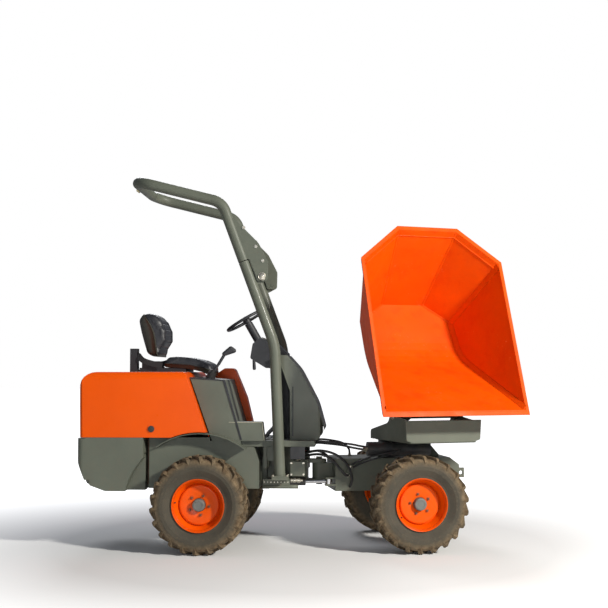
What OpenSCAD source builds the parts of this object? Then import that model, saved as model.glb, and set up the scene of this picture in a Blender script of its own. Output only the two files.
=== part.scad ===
// Site dumper: small articulated machine with a swivelling, tipping skip at the front.
// +X is forward, +Y is the driver's left, +Z is up, the ground is at Z = 0.
// The front body is steered, and the skip swivelled and tipped, to the pose below.

/* [Pose] */
// Angle of the front body to the rear body, to the left
steer_now = 12; // [-33:1:33]
// Heading of the skip to the front body, to the left
swivel_now = -79.4; // [-90:0.2:90]
// Angle that the skip is tipped
tip_now = 63.4; // [0:0.2:63.4]

/* [Wheels] */
// Outer diameter over the lugs
tyre_d = 760; // [720:2:800]
// Width of a tyre
tyre_w = 265; // [240:1:280]
// Diameter of a rim over its flanges
rim_d = 412; // [390:1:430]
// Width of a rim over its flanges
rim_w = 222; // [200:1:236]
// Distance between the middles of the left and right tyres
track = 1174; // [1150:2:1210]
// Radius of the wheel stub on an axle
stub_r = 30; // [24:1:36]
// Height of a tyre's lugs over the carcass
lug_h = 24; // [14:1:30]
// Width of a lug
lug_w = 28; // [20:1:36]
// Number of lugs on each side of a tyre
lug_count = 22; // [16:1:26]

/* [Layout] */
// Distance of the rear axle behind the steering pivot
rear_axle_x = 905; // [860:1:930]
// Distance of the front axle ahead of the steering pivot
front_axle_x = 690; // [670:2:720]
// Distance of the skip's swivel axis ahead of the steering pivot
swivel_x = 726; // [700:2:750]
// Radius of the steering pivot pin
pivot_r = 25; // [20:1:32]
// Running clearance of shafts in their bores
fit_gap = 0.05; // [0.02:0.01:0.1]

/* [Rear body] */
// Width of the hood and of the counterweight
body_w = 1100; // [1040:5:1140]
// Height of the hood's top
hood_top = 1420; // [1380:5:1450]
// Height of the seam between hood and counterweight
seam_z = 892; // [880:2:905]
// Rear end of the hood, behind the steering pivot
hood_back = 1884; // [1840:2:1900]
// Thickness of the hood's shell
hood_wall = 6; // [4:1:10]
// Height of the counterweight's underside
weight_z = 473; // [450:2:500]
// Radius of the wheel arch
arch_r = 605; // [590:1:612]
// Radius of the tow pin's bore
tow_r = 16; // [12:1:20]
// Height of the chassis underside
chassis_z = 487; // [470:1:500]
// Height of the chassis rails
rail_h = 215; // [200:1:215]
// Gap between a side tank and the tyre beside it
tank_gap = 14.5; // [12:0.5:30]
// Width of a mudguard, outwards from the side tank
guard_w = 122; // [100:1:130]
// Height of the floor's top
floor_z = 862; // [850:1:880]
// Thickness of the floor's edge
floor_h = 47; // [30:1:55]
// Width of the floor
floor_w = 800; // [760:5:806]
// Width of the front cowl
cowl_w = 520; // [460:5:560]
// Thickness of the cowl's shell
cowl_wall = 5; // [4:1:8]

/* [Seat] */
// Width of the seat
seat_w = 460; // [420:5:480]
// Thickness of the seat cushion
cushion_h = 88; // [70:1:90]
// Angle that the seat's back leans
back_lean = 12; // [8:1:16]

/* [Steering wheel] */
// Radius of the steering wheel, to the middle of its ring
wheel_r = 175; // [160:1:190]
// Angle of the steering column from upright
column_lean = 30; // [25:1:35]

/* [Roll bar] */
// Diameter of the roll bar's tubes
bar_d = 88; // [76:1:95]
// Distance between the middles of the two legs
bar_w = 900; // [896:2:960]
// Height of the joint between the legs and the hoop
bar_joint_z = 2289; // [2240:1:2320]
// Angle that the hoop's top rises towards the rear
bar_rise = 14.4; // [8:0.1:16]
// Radius of the hoop's corners
bar_corner = 170; // [130:5:220]
// Radius of the fold pin
fold_r = 12; // [10:1:14]

/* [Front body] */
// Height of the top of the front chassis
front_top = 705; // [690:1:715]
// Height of its underside
front_low = 443; // [430:1:460]
// Width of the front chassis
front_w = 400; // [360:5:420]
// Radius of the slew ring's housing
ring_r = 220; // [200:1:240]
// Height of the slew ring's top
ring_top = 840; // [820:1:850]

/* [Skip frame] */
// Width between the outer faces of the skip frame's sides
frame_w = 564; // [540:2:580]
// Thickness of the frame's plates
frame_t = 12; // [10:1:16]
// Distance of the front plate ahead of the swivel axis
apron_x = 735; // [715:1:760]
// Width of the front plate
apron_w = 654; // [620:2:680]
// Distance of the tipping pin ahead of the swivel axis
hinge_x = 421; // [410:1:435]
// Height of the tipping pin
hinge_z = 1065; // [1060:1:1080]
// Radius of the tipping pin
hinge_r = 20; // [16:1:24]

/* [Skip] */
// Thickness of the skip's plates
skip_t = 6; // [4:1:10]
// Lip of the skip, ahead of the tipping pin
lip_x = 202; // [182:1:260]
// Height of the lip over the tipping pin, skip lowered
lip_z = 512; // [490:1:520]
// Half of the skip's width at its rim
rim_half = 590; // [570:1:630]
// Rear corner of the rim, behind the tipping pin
corner_x = 1026; // [1006:1:1070]
// Rear edge of the rim, behind the tipping pin
back_x = 1297; // [1277:1:1345]
// Half of the rear edge's width
back_half = 256; // [250:1:290]
// Angle that the rim rises towards the rear
rim_rise = 7.8; // [6:0.1:9]
// Rear end of the flat floor, behind the tipping pin
floor_back = 850; // [840:1:860]
// Meeting of the flat floor and the front slope, behind the tipping pin
floor_bend = 510; // [500:1:520]
// Half of the floor's width at its rear end
floor_half = 411; // [400:1:420]
// Radius of the bend between floor and front slope
bend_r = 450; // [400:5:480]
// Half of the width of the floor's rear edge, between its cut corners
heel_half = 190; // [180:1:200]
// Width of the rim's edge bar
edge_w = 22; // [20:1:32]
// Depth of the rim's edge bar
edge_h = 30; // [24:1:36]

/* [Cylinders] */
// Radius of the steering cylinder's barrel
steer_r = 32; // [26:1:34]
// Radius of the tipping cylinder's barrel
ram_r = 38; // [34:1:42]
// Radius of the two cylinders' rods
rod_r = 16; // [14:1:20]
// Gap between an open rod eye and its ears
eye_gap = 0.4; // [0.3:0.1:1]

/* [Hidden] */
$fn = 48;

// Place of the model's origin, the middle of its box, seen from the steering pivot
origin_x = -117;
origin_y = -35;

axle_z = tyre_d / 2;
tank_w = track - tyre_w - 2 * tank_gap;
// Middle of the rear wheel arches
arch = [-rear_axle_x - 15, 324];
// Axis that the hood opens on
hood_hinge = [-1835, 655];
orange = [0.95, 0.33, 0.05];
grey = [0.32, 0.34, 0.34];
black = [0.08, 0.08, 0.09];
steel = [0.7, 0.71, 0.72];

// Basic shapes

// Corner of a polygon rounded to radius r, as points; a, b and c are the corner and its neighbours
function corner_arc(a, b, c, r, n = 6) =
    let (u = (a - b) / norm(a - b), v = (c - b) / norm(c - b),
         half = acos(max(-1, min(1, u * v))) / 2,
         run = r / tan(half), mid = (u + v) / norm(u + v), o = b + mid * (r / sin(half)),
         s = b + u * run - o, e = b + v * run - o, a0 = atan2(s.y, s.x),
         turn = atan2(s.x * e.y - s.y * e.x, s * e))
    r == 0 ? [b] : [for (i = [0:n]) o + r * [cos(a0 + turn * i / n), sin(a0 + turn * i / n)]];
// Polygon given as [x, y, radius] corners
function rounded(p) = [for (i = [0:len(p) - 1])
    let (a = p[(i + len(p) - 1) % len(p)], b = p[i], c = p[(i + 1) % len(p)])
    each corner_arc([a.x, a.y], [b.x, b.y], [c.x, c.y], b.z)];
// Solid of an outline in the XZ plane, w wide and centred on y
module side_solid(p, w, y = 0) {
    translate([0, y + w / 2, 0]) rotate([90, 0, 0]) linear_extrude(w) polygon(rounded(p));
}
// Box between two corners
module block(a, b) {
    translate(a) cube(b - a);
}
// Cylinder along Y between y0 and y1
module shaft(x, z, r, y0, y1) {
    translate([x, y0, z]) rotate([-90, 0, 0]) cylinder(r = r, h = y1 - y0);
}
// Cylinder between two points
module rod(a, b, r) {
    v = b - a;
    translate(a) rotate([0, acos(v.z / norm(v)), atan2(v.y, v.x)]) cylinder(r = r, h = norm(v));
}
// Both sides of the machine
module both() {
    children();
    mirror([0, 1, 0]) children();
}
// Bent tube along points of the XY plane, with bend radii at the points between. Its straights
// are 0.5 mm thinner than its bends and run 3 mm into them.
module pipe(p, radii, d, last = true) {
    n = len(p);
    dir = [for (i = [0:n - 2]) (p[i + 1] - p[i]) / norm(p[i + 1] - p[i])];
    turn = [for (i = [1:n - 2]) atan2(dir[i - 1].x * dir[i].y - dir[i - 1].y * dir[i].x,
        dir[i - 1] * dir[i])];
    cut = [0, for (i = [1:n - 2]) radii[i - 1] * tan(abs(turn[i - 1]) / 2), 0];
    for (i = [0:last ? n - 2 : n - 3]) {
        a = p[i] + dir[i] * (i == 0 ? 0 : cut[i] - 3);
        b = p[i + 1] - dir[i] * (i == n - 2 ? 0 : cut[i + 1] - 3);
        rod([a.x, a.y, 0], [b.x, b.y, 0], d / 2 - 0.5);
    }
    for (i = [1:n - 2]) {
        s = sign(turn[i - 1]);
        side = s * [-dir[i - 1].y, dir[i - 1].x];
        o = p[i] - dir[i - 1] * cut[i] + side * radii[i - 1];
        from = atan2(-side.y, -side.x) + (s < 0 ? turn[i - 1] : 0);
        translate(o) rotate(from)
            rotate_extrude(angle = abs(turn[i - 1])) translate([radii[i - 1], 0]) circle(d / 2);
    }
}

// Frames of the moving bodies

module rear_frame() {
    translate([-origin_x, -origin_y, 0]) children();
}
module front_frame() {
    rear_frame() rotate([0, 0, steer_now]) children();
}
module swivel_frame() {
    front_frame() translate([swivel_x, 0, 0]) rotate([0, 0, swivel_now]) children();
}
module tip_frame() {
    swivel_frame() translate([hinge_x, 0, hinge_z]) rotate([0, tip_now, 0]) children();
}

// Wheels

// Place of a wheel's middle: f is 1 for the front axle, s is 1 for the left side
module wheel_place(f, s) {
    if (f == 1) front_frame() translate([front_axle_x, s * track / 2, axle_z])
        rotate([-90 * s, 0, 0]) children();
    else rear_frame() translate([-rear_axle_x, s * track / 2, axle_z])
        rotate([-90 * s, 0, 0]) children();
}
module tyre() {
    r = tyre_d / 2;
    h = tyre_w / 2;
    bead = rim_d / 2 - 14;
    base = r - lug_h;
    rotate_extrude($fn = 72) polygon([[bead, -rim_w / 2 + 14], [bead + 30, -rim_w / 2 + 9],
        [r - 110, -h + 4], [r - 84, -h], [base - 24, -h + 6], [base - 6, -h + 18], [base, -h + 40],
        [base, h - 40], [base - 6, h - 18], [base - 24, h - 6], [r - 84, h], [r - 110, h - 4],
        [bead + 30, rim_w / 2 - 9], [bead, rim_w / 2 - 14]]);
    // Lugs from the middle of the tread over the shoulder, the two sides half a step apart
    for (side = [0, 1]) mirror([0, 0, side]) for (i = [0:lug_count - 1])
        rotate((i + side / 2) * 360 / lug_count) rotate([32, 0, 0])
            translate([0, -lug_w / 2, 0]) rotate([-90, 0, 0]) linear_extrude(lug_w)
                polygon([[base - 12, 0], [r - 0.3, -4], [r - 9, -h + 2], [r - 24, -h - 11],
                    [r - 66, -h - 14], [r - 80, -h + 8], [base - 12, -h + 30]]);
}
module wheel_rim() {
    out = rim_d / 2;
    seat = out - 14.3;
    difference() {
        union() {
            // Barrel with its flanges and the drop in the middle
            rotate_extrude($fn = 72) polygon([[seat, -rim_w / 2 + 14], [out, -rim_w / 2 + 9],
                [out, -rim_w / 2], [seat - 6, -rim_w / 2], [seat - 8, -rim_w / 2 + 50],
                [seat - 32, -rim_w / 2 + 70], [seat - 32, rim_w / 2 - 70], [seat - 8, rim_w / 2 - 50],
                [seat - 6, rim_w / 2], [out, rim_w / 2], [out, rim_w / 2 - 9], [seat, rim_w / 2 - 14],
                [seat - 1, rim_w / 2 - 48], [seat - 24, rim_w / 2 - 66],
                [seat - 24, -rim_w / 2 + 66], [seat - 1, -rim_w / 2 + 48]]);
            // Dished disc
            rotate_extrude($fn = 72) polygon([[40, 30], [118, 30], [150, 8], [seat - 28, 8],
                [seat - 28, 0], [146, 0], [114, 22], [40, 22]]);
            // Hub with its cap
            translate([0, 0, -50]) cylinder(r = 62, h = 74);
            cylinder(r = 48, h = 86);
            // Wheel nuts
            for (i = [0:4]) rotate(i * 72) translate([74, 0, 22]) cylinder(r = 11, h = 20, $fn = 6);
        }
        translate([0, 0, -60]) cylinder(r = stub_r + fit_gap, h = 120);
    }
}
// Axle with the brake drums that carry the wheels, in a body's frame
module axle(x) {
    inner = track / 2 - 56;
    shaft(x, axle_z, 52, -inner + 70, inner - 70);
    both() shaft(x, axle_z, 108, inner - 84, inner - 8);
    both() shaft(x, axle_z, stub_r, inner - 10, track / 2 + 54);
    block([x - 75, -105, axle_z - 85], [x + 75, 105, axle_z + 62]);
}

// Rear body

module rear_chassis() color(grey) rear_frame() {
    top = chassis_z + rail_h;
    difference() {
        union() {
            // Main rails and cross members behind the pivot
            both() block([-1560, 150, chassis_z], [-420, 170, top]);
            block([-1560, -150, chassis_z], [-1530, 150, top]);
            block([-440, -170, chassis_z], [-420, 170, top]);
            // Spine to the pivot ears
            block([-430, -100, chassis_z + 12], [-92, 100, top - 12]);
            for (z = [chassis_z + 12, top - 42]) {
                block([-100, -60, z], [0, 60, z + 30]);
                translate([0, 0, z]) cylinder(r = 60, h = 30);
            }
            // Outrigger that carries the roll bar's legs, and the posts under the floor
            block([-352, -505, 560], [-222, 505, 580]);
            block([-350, -100, top - 13], [-230, 100, floor_z - 9.3]);
            both() block([-428, 150, top - 60], [-400, 388, floor_z - 9.3]);
            both() block([-430, 388, chassis_z], [-217, 400, 560]);
            // Saddle on the axle
            both() block([-rear_axle_x - 70, 100, axle_z + 62.3], [-rear_axle_x + 70, 150, top - 30]);
            // Ear of the steering cylinder
            block([-450, -240, 466], [-395, -150, 480]);
            block([-450, -172, 466], [-420, -150, top - 60]);
        }
        translate([0, 0, chassis_z]) cylinder(r = pivot_r + fit_gap, h = rail_h);
    }
    translate([steer_pin.x, steer_pin.y, 479]) cylinder(r = 12, h = 76);
}
// Barrel pin of the steering cylinder, and its rod pin in the front body's frame
steer_pin = [-422, -205];
steer_eye = [50, -170];
steer_z = 520;

module side_tanks() color(grey) rear_frame() both() {
    side_solid([[-1335, chassis_z, 0], [-460, chassis_z, 0], [-460, 700, 0],
        [-500, floor_z - floor_h - 0.3, 20], [-603, floor_z - floor_h - 0.3, 0], [-603, floor_z - 0.3, 0],
        [-850, floor_z - 0.3, 0], [-850, seam_z - 3, 0], [-1335, seam_z - 3, 0]],
        tank_w / 2 - 170.3, tank_w / 4 + 85.15);
}
module counterweight() color(grey) rear_frame() {
    back = -hood_back;
    difference() {
        intersection() {
            side_solid([[back - 9, seam_z - 0.4, 0], [back - 6, 700, 60], [back + 66, 528, 30],
                [back + 221, weight_z, 60], [-1365, weight_z, 0], [-1365, seam_z - 0.4, 0]], body_w);
            translate([0, 0, weight_z - 10]) linear_extrude(500) polygon(rounded([
                [back - 9, -body_w / 2, 50], [-1300, -body_w / 2, 0], [-1300, body_w / 2, 0],
                [back - 9, body_w / 2, 50]]));
        }
        both() shaft(arch.x, arch.y, arch_r, tank_w / 2 + 2, body_w);
        // Well for the chassis rails and the engine
        block([-1560.3, -180, weight_z - 1], [-1300, 180, seam_z + 10]);
        block([back + 174, -300, 560], [-1300, 300, seam_z + 10]);
        // Room for the exhaust
        block([-1480, -345, weight_z - 10], [-1300, -280, seam_z + 10]);
        // Step under the hood's rear edge, which drops a little as the hood opens
        block([back - 100, -body_w, seam_z - 8], [hood_hinge.x + 5, body_w, seam_z]);
        // Slots of the hood's hinge arms
        both() block([back - 100, hinge_y - 11, hood_hinge.y - 24],
            [hood_hinge.x + 30, hinge_y + 11, seam_z + 1]);
        // Dark recess in the rear lower corners
        both() block([back - 20, body_w / 2 - 46, 480], [back + 96, body_w, 560]);
        // Slot and bore of the tow pin, with a flat seat round its mouth
        block([back - 100, -70, 575], [tow_x + 50, 70, 635]);
        translate([tow_x, 0, 400]) cylinder(r = tow_r, h = 300);
        translate([tow_x, 0, 400]) cylinder(r = tow_r + 12, h = 135);
    }
    both() shaft(hood_hinge.x, hood_hinge.y, 8, hinge_y - 12, hinge_y + 12);
}
// Distance of the hood's hinge arms from the middle, and place of the tow pin
hinge_y = 230;
tow_x = -1790;
module engine() color(black) rear_frame() {
    block([-hood_back + 244, -168, chassis_z + rail_h + 0.3], [-1040, 168, 1230]);
}
module exhaust() color(steel) rear_frame() {
    translate([0, -310, 0]) rotate([90, 0, 0])
        pipe([[-1362, 870], [-1362, 500], [-1452, 500]], [70], 42);
    shaft(-1362, 846, 17, -310, -168.3);
}
module rear_axle() color(grey) rear_frame() axle(-rear_axle_x);
module mudguards() color(grey) rear_frame() both() intersection() {
    y = tank_w / 2 + 0.3;
    difference() {
        shaft(arch.x, arch.y, arch_r - 1, y, y + guard_w);
        shaft(arch.x, arch.y, arch_r - 7, y - 1, y + guard_w + 1);
    }
    block([-1260, 0, 600], [-560, body_w, 1000]);
}
// Outline of the hood's side, drawn in by t, and its outline from behind
function hood_side(t) = [[-hood_back + 14 + t, seam_z, 0], [-hood_back + t, hood_top - 12 - t, 130 - t],
    [-1036 - t / 2, hood_top - 12 - t, 45], [-920 - t, 1072, 200], [-857 - t, seam_z, 0]];
function hood_end(t) = [[-body_w / 2 + t, 600, 0], [body_w / 2 - t, 600, 0],
    [body_w / 2 - 10 - t, hood_top - t, 70 - t], [-body_w / 2 + 10 + t, hood_top - t, 70 - t]];
function hood_plan(t) = [[-hood_back + t, -body_w / 2 + t, 55 - t], [-800, -body_w / 2 + t, 0],
    [-800, body_w / 2 - t, 0], [-hood_back + t, body_w / 2 - t, 55 - t]];
module hood_form(t) intersection() {
    translate([0, 0, t > 0 ? -0.1 : 0]) side_solid(hood_side(t), body_w - 2 * t);
    translate([-hood_back - 100, 0, 0]) rotate([90, 0, 90]) linear_extrude(1300)
        polygon(rounded(hood_end(t)));
    translate([0, 0, seam_z - 1]) linear_extrude(700) polygon(rounded(hood_plan(t)));
}
module hood() color(orange) rear_frame() {
    difference() {
        hood_form(0);
        hood_form(hood_wall);
        both() shaft(arch.x, arch.y, arch_r + 5, tank_w / 2 - 20, body_w);
    }
    // Hinge arms inside the rear wall
    both() difference() {
        union() {
            side_solid([[hood_hinge.x - 14, hood_hinge.y, 0], [hood_hinge.x + 14, hood_hinge.y, 0],
                [hood_hinge.x + 14, seam_z + 120, 20], [-hood_back + hood_wall, seam_z + 160, 0],
                [-hood_back + hood_wall + 2, seam_z + 2, 0], [hood_hinge.x - 26, seam_z - 10, 0]],
                10, hinge_y);
            shaft(hood_hinge.x, hood_hinge.y, 16, hinge_y - 5, hinge_y + 5);
        }
        shaft(hood_hinge.x, hood_hinge.y, 8 + fit_gap, hinge_y - 9, hinge_y + 9);
    }
}
module side_console() color(orange) rear_frame() {
    side_solid([[-840, floor_z, 0], [-560, floor_z, 0], [-640, 1190, 60], [-745, 1440, 40],
        [-830, 1440, 30], [-980, 1340, 0]], 130, 370);
}
module seat_box() color(grey) rear_frame() {
    side_solid([[-834, floor_z, 0], [-602, floor_z, 0], [-745, 1345, 14], [-1012, 1366, 6]],
        740, -70);
    // Low box beside the feet
    side_solid([[-700, floor_z, 0], [-416, floor_z, 0], [-432, 1012, 12], [-700, 1012, 0]],
        120, -380);
}
module seat_base() color(black) rear_frame() {
    side_solid([[-1470, hood_top - 11.6, 0], [-1085, hood_top - 11.6, 0], [-1085, hood_top + 22.6, 0],
        [-1470, hood_top + 22.6, 0]], seat_w - 60);
    both() side_solid([[-1450, hood_top + 20, 0], [-1330, hood_top + 20, 0], [-1370, 1500, 20],
        [-1450, 1500, 20]], 12, seat_w / 2 - 34);
    shaft(seat_pin.x, seat_pin.y, 10, -seat_w / 2 + 33, seat_w / 2 - 33);
    // Belt reel behind the back
    block([-1550, -seat_w / 2 + 30, hood_top - 11.6], [-1490, -seat_w / 2 + 110, 1600]);
    block([-1540, -seat_w / 2 + 40, hood_top - 11.6], [-1460, -seat_w / 2 + 100, hood_top + 8]);
}
// Pin that the seat's back folds on
seat_pin = [-1400, 1478];

module seat_cushion() color(black) rear_frame() intersection() {
    side_solid([[-1270, 1443, 20], [-1000, 1443, 20], [-852, 1392, 20], [-848, 1482, 30],
        [-1000, 1443 + cushion_h, 60], [-1262, 1443 + cushion_h - 6, 30]], seat_w);
    translate([0, 0, 1300]) linear_extrude(400) polygon(rounded([[-1270, -seat_w / 2, 50],
        [-840, -seat_w / 2, 70], [-840, seat_w / 2, 70], [-1270, seat_w / 2, 50]]));
}
module seat_back() color(black) rear_frame() {
    translate([seat_pin.x, 0, seat_pin.y]) rotate([0, -back_lean, 0]) difference() {
        union() {
            intersection() {
                side_solid([[-14, 45, 18], [102, 42, 20], [118, 92, 24], [186, 128, 34], [188, 220, 80], [162, 330, 60],
                    [118, 436, 36], [-4, 440, 36], [-44, 300, 90]], seat_w - 20);
                translate([-200, 0, 0]) rotate([90, 0, 90]) linear_extrude(500) polygon(rounded([
                    [-seat_w / 2 + 10, 30, 60], [seat_w / 2 - 10, 30, 60],
                    [seat_w / 2 - 40, 450, 80], [-seat_w / 2 + 40, 450, 80]]));
            }
            both() block([-18, seat_w / 2 - 80, -18], [24, seat_w / 2 - 50, 60]);
        }
        shaft(0, 0, 10 + fit_gap, -300, 300);
    }
}
module floor_plate() color(grey) rear_frame() difference() {
    block([-602, -floor_w / 2, floor_z - floor_h], [-20, floor_w / 2, floor_z - 0.3]);
    block([-594, -floor_w / 2 + 8, floor_z - floor_h - 1], [-28, floor_w / 2 - 8, floor_z - 9]);
}
// Outline of the cowl's side, drawn in by t
function cowl_side(t) = [[-226, floor_z + 0.3 - t, 0], [6 - t, floor_z + 0.3 - t, 30], [54 - t, 950, 30],
    [-4 - t, 1158, 400], [-150 - t, 1434, 300], [-250 - t, 1545 - t, 20], [-330 + t, 1545 - t, 0],
    [-226 + (t > 0 ? -20 : 0), 1250, 60]];
module cowl() color(grey) rear_frame() difference() {
    intersection() {
        side_solid(cowl_side(0), cowl_w);
        translate([0, 0, 800]) linear_extrude(900) polygon(rounded([[-400, -cowl_w / 2, 0],
            [60, -cowl_w / 2, 60], [60, cowl_w / 2, 60], [-400, cowl_w / 2, 0]]));
    }
    side_solid([[-240, 800, 0], [6 - cowl_wall, 800, 0],
        [54 - cowl_wall, 950, 30], [-4 - cowl_wall, 1158, 400], [-150 - cowl_wall, 1434, 300],
        [-254, 1545 - cowl_wall, 20], [-400, 1545 - cowl_wall, 0]], cowl_w - 2 * cowl_wall);
    // Room for the column's stand
    block([-400, -62, 1500], [-248, 62, 1600]);
}
module dash() color(black) rear_frame() {
    side_solid([[-560, 1520, 20], [-540, 1640, 30], [-480, 1690, 30], [-340, 1640, 30],
        [-256, 1562, 0], [-256, 1545.3, 0], [-336, 1545.3, 0], [-336, 1440, 0], [-430, 1440, 20]], 340);
    translate(wheel_mid) rotate([0, -column_lean, 0]) translate([0, 0, -240])
        cylinder(r = 34, h = 205);
    translate(wheel_mid) rotate([0, -column_lean, 0]) translate([0, 0, -60])
        cylinder(r = 12, h = 64);
    // Stand of the column down to the floor, inside the cowl
    block([-331, -60, floor_z + 0.3], [-251, 60, 1546]);
}
wheel_mid = [-610, 0, 1843];
module steering_wheel() color(black) rear_frame() translate(wheel_mid) rotate([0, -column_lean, 0]) {
    rotate_extrude($fn = 64) translate([wheel_r, 0]) circle(13, $fn = 20);
    difference() {
        translate([0, 0, -30]) cylinder(r = 32, h = 44);
        translate([0, 0, -40]) cylinder(r = 12 + fit_gap, h = 45);
    }
    for (a = [30, 150, 270]) rotate(a) translate([28, -12, -9]) cube([wheel_r - 32, 24, 8]);
}
module controls() color(black) rear_frame() {
    // Travel lever on the right of the seat box
    rod([-860, -395, 1360], [-790, -395, 1470], 11);
    rod([-790, -395, 1468], [-742, -395, 1548], 12);
    hull() {
        translate([-744, -395, 1552]) sphere(18, $fn = 16);
        translate([-692, -395, 1594]) sphere(20, $fn = 16);
        translate([-666, -395, 1578]) sphere(18, $fn = 16);
    }
    translate([-858, -395, 1356.8]) cylinder(r1 = 34, r2 = 16, h = 50);
    // Two pedals on the floor
    for (y = [-170, 120]) {
        translate([-470, y, 0]) side_solid([[0, floor_z, 0], [30, floor_z, 0], [120, 960, 8],
            [108, 972, 8]], 70);
    }
}

// Roll bar

bar_foot = [-291, 584];
bar_knee = [-334, 1618];
bar_peak = [-760, 2768];
fold_pin = [-432, 2168];
bar_dir = (bar_peak - bar_knee) / norm(bar_peak - bar_knee);
bar_joint = bar_knee + bar_dir * ((bar_joint_z - bar_knee.y) / bar_dir.y);
bar_reach = 738;
// Bracket plates on the front of the tube, around the fold pin
module fold_cheek(w, y, low) translate([fold_pin.x, 0, fold_pin.y]) {
    if (low) side_solid([[-100, -88, 20], [-20, -58, 20], [32, -30, 26], [32, 32, 26],
        [-60, 72, 10], [-130, 47, 0]], w, y);
    else side_solid([[-161, 133, 0], [-106, 139, 0], [-98, 129, 0], [-53, 7, 20], [-38, -36, 24], [40, -36, 30],
        [44, 117, 50], [-34, 271, 80], [-223, 462, 10], [-258, 472, 0]], w, y);
}
module rops_legs() color(grey) rear_frame() {
    both() translate([0, bar_w / 2, 0]) {
        rotate([90, 0, 0]) pipe([bar_foot, bar_knee, bar_joint - bar_dir * 3], [500], bar_d);
        block([-352, -55, 580.3], [-222, 55, 592]);
        fold_cheek(20, 0, true);
        shaft(fold_pin.x, fold_pin.y, fold_r, -34, 34);
    }
}
module rops_hoop() color(grey) rear_frame() {
    top_dir = [-cos(bar_rise), sin(bar_rise)];
    bend = 150;
    turn = 180 - bar_rise - atan2(bar_dir.y, bar_dir.x);
    start = bar_peak + top_dir * (bend * tan(turn / 2) - 3);
    run = bar_reach - (bend * tan(turn / 2) - 3);
    both() translate([0, bar_w / 2, 0]) {
        rotate([90, 0, 0])
            pipe([bar_joint + bar_dir * 3, bar_peak, bar_peak + top_dir * 300], [bend], bar_d, false);
        difference() {
            for (y = [-24, 24]) fold_cheek(14, y, false);
            shaft(fold_pin.x, fold_pin.y, fold_r + fit_gap, -60, 60);
        }
    }
    translate([start.x, 0, start.y]) rotate([0, bar_rise, 0]) mirror([1, 0, 0]) {
        pipe([[0, bar_w / 2], [run, bar_w / 2], [run, -bar_w / 2], [0, -bar_w / 2]],
            [bar_corner, bar_corner], bar_d);
    }
}
module rear_lamp() color([0.9, 0.85, 0.6]) rear_frame() {
    top_dir = [-cos(bar_rise), sin(bar_rise)];
    at = bar_peak + top_dir * (bar_reach + bar_d / 2 + 0.3);
    translate([at.x, 0, at.y]) rotate([0, -90 + bar_rise, 0]) {
        cylinder(r = 38, h = 12);
        cylinder(r = 32, h = 26);
    }
}

// Front body

module front_chassis() color(grey) front_frame() {
    half = front_w / 2;
    low = chassis_z + 42;
    high = chassis_z + rail_h - 42;
    difference() {
        side_solid([[100, front_low, 0], [1040, front_low, 0], [1140, front_low + 70, 20],
            [1140, front_top - 60, 20], [1060, front_top, 0], [100, front_top, 0]], front_w);
        block([150, -half + 14, front_low - 1], [430, half - 14, front_top - 14]);
        block([950, -half + 14, front_low - 1], [1100, half - 14, front_top - 14]);
    }
    // Tongue and pin of the steering pivot
    block([0, -58, low + 1], [101, 58, high - 1]);
    translate([0, 0, low + 1]) cylinder(r = 58, h = high - low - 2);
    translate([0, 0, chassis_z - 6]) cylinder(r = pivot_r, h = rail_h + 12);
    // Ears of the steering cylinder's rod
    for (z = [steer_z - 20 - eye_gap - 14, steer_z + 20 + eye_gap])
        block([steer_eye.x - 30, steer_eye.y - 30, z], [140, steer_eye.y + 30, z + 14]);
    // Front ears for lashing
    difference() {
        both() block([1130, 120, front_low + 90], [1200, 140, front_low + 170]);
        shaft(1172, front_low + 130, 16, -300, 300);
    }
    // Saddle on the axle
    both() block([front_axle_x - 70, 70, axle_z + 62.3], [front_axle_x + 70, 130, front_low + 2]);
}
module front_axle() color(grey) front_frame() axle(front_axle_x);
module slew_drive() color(black) front_frame() {
    translate([swivel_x, 0, front_top + 0.3]) {
        cylinder(r = ring_r, h = ring_top - front_top - 0.3, $fn = 72);
        // Worm housing beside the ring, with its motor at the rear
        translate([-170, -ring_r - 22, 70]) rotate([0, 90, 0]) cylinder(r = 52, h = 320);
        translate([-372, -ring_r - 22, 79]) rotate([0, 90, 0]) cylinder(r = 57, h = 203);
        block([-150, -ring_r - 30, 20], [130, -100, 118]);
    }
}

// Skip frame, in the swivel's frame

tip_base = [-280, 905];
module skip_frame() color(grey) swivel_frame() {
    low = ring_top + 5;
    half = frame_w / 2;
    translate([0, 0, low - 4.5]) cylinder(r = ring_r - 20, h = 10);
    difference() {
        union() {
            translate([0, 0, low]) cylinder(r = ring_r + 20, h = 30);
            block([0, -half, low + 10], [apron_x - 10, half, low + 30]);
            both() side_solid([[-60, low + 10, 0], [apron_x - 10, low + 10, 0], [apron_x - 10, 1025, 0],
                [500, 1050, 60], [470, hinge_z + 46, 30], [hinge_x - 45, hinge_z + 46, 30],
                [300, 1000, 80], [-60, 930, 30]], frame_t, half - frame_t / 2);
        }
        shaft(hinge_x, hinge_z, hinge_r + fit_gap, -half - 20, half + 20);
    }
    // Front plate with its cut lower corners
    translate([apron_x - 10, 0, 0]) rotate([90, 0, 90]) linear_extrude(10) polygon(rounded([
        [-apron_w / 2, 1033, 4], [-apron_w / 2 + 10, 880, 8], [-apron_w / 2 + 60, 862, 0],
        [apron_w / 2 - 60, 862, 0], [apron_w / 2 - 10, 880, 8], [apron_w / 2, 1033, 4]]));
    // Tail and ears of the tipping cylinder's barrel
    block([tip_base.x - 50, -80, low], [-100, 80, low + 20]);
    both() side_solid([[tip_base.x - 40, low + 19, 0], [tip_base.x + 60, low + 19, 0],
        [tip_base.x + 28, tip_base.y + 28, 26], [tip_base.x - 28, tip_base.y + 28, 26]], 14, 51);
    shaft(tip_base.x, tip_base.y, 14, -58, 58);
}

// Skip, in the tipping frame: X ahead, Y left, Z up from the tipping pin

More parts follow.
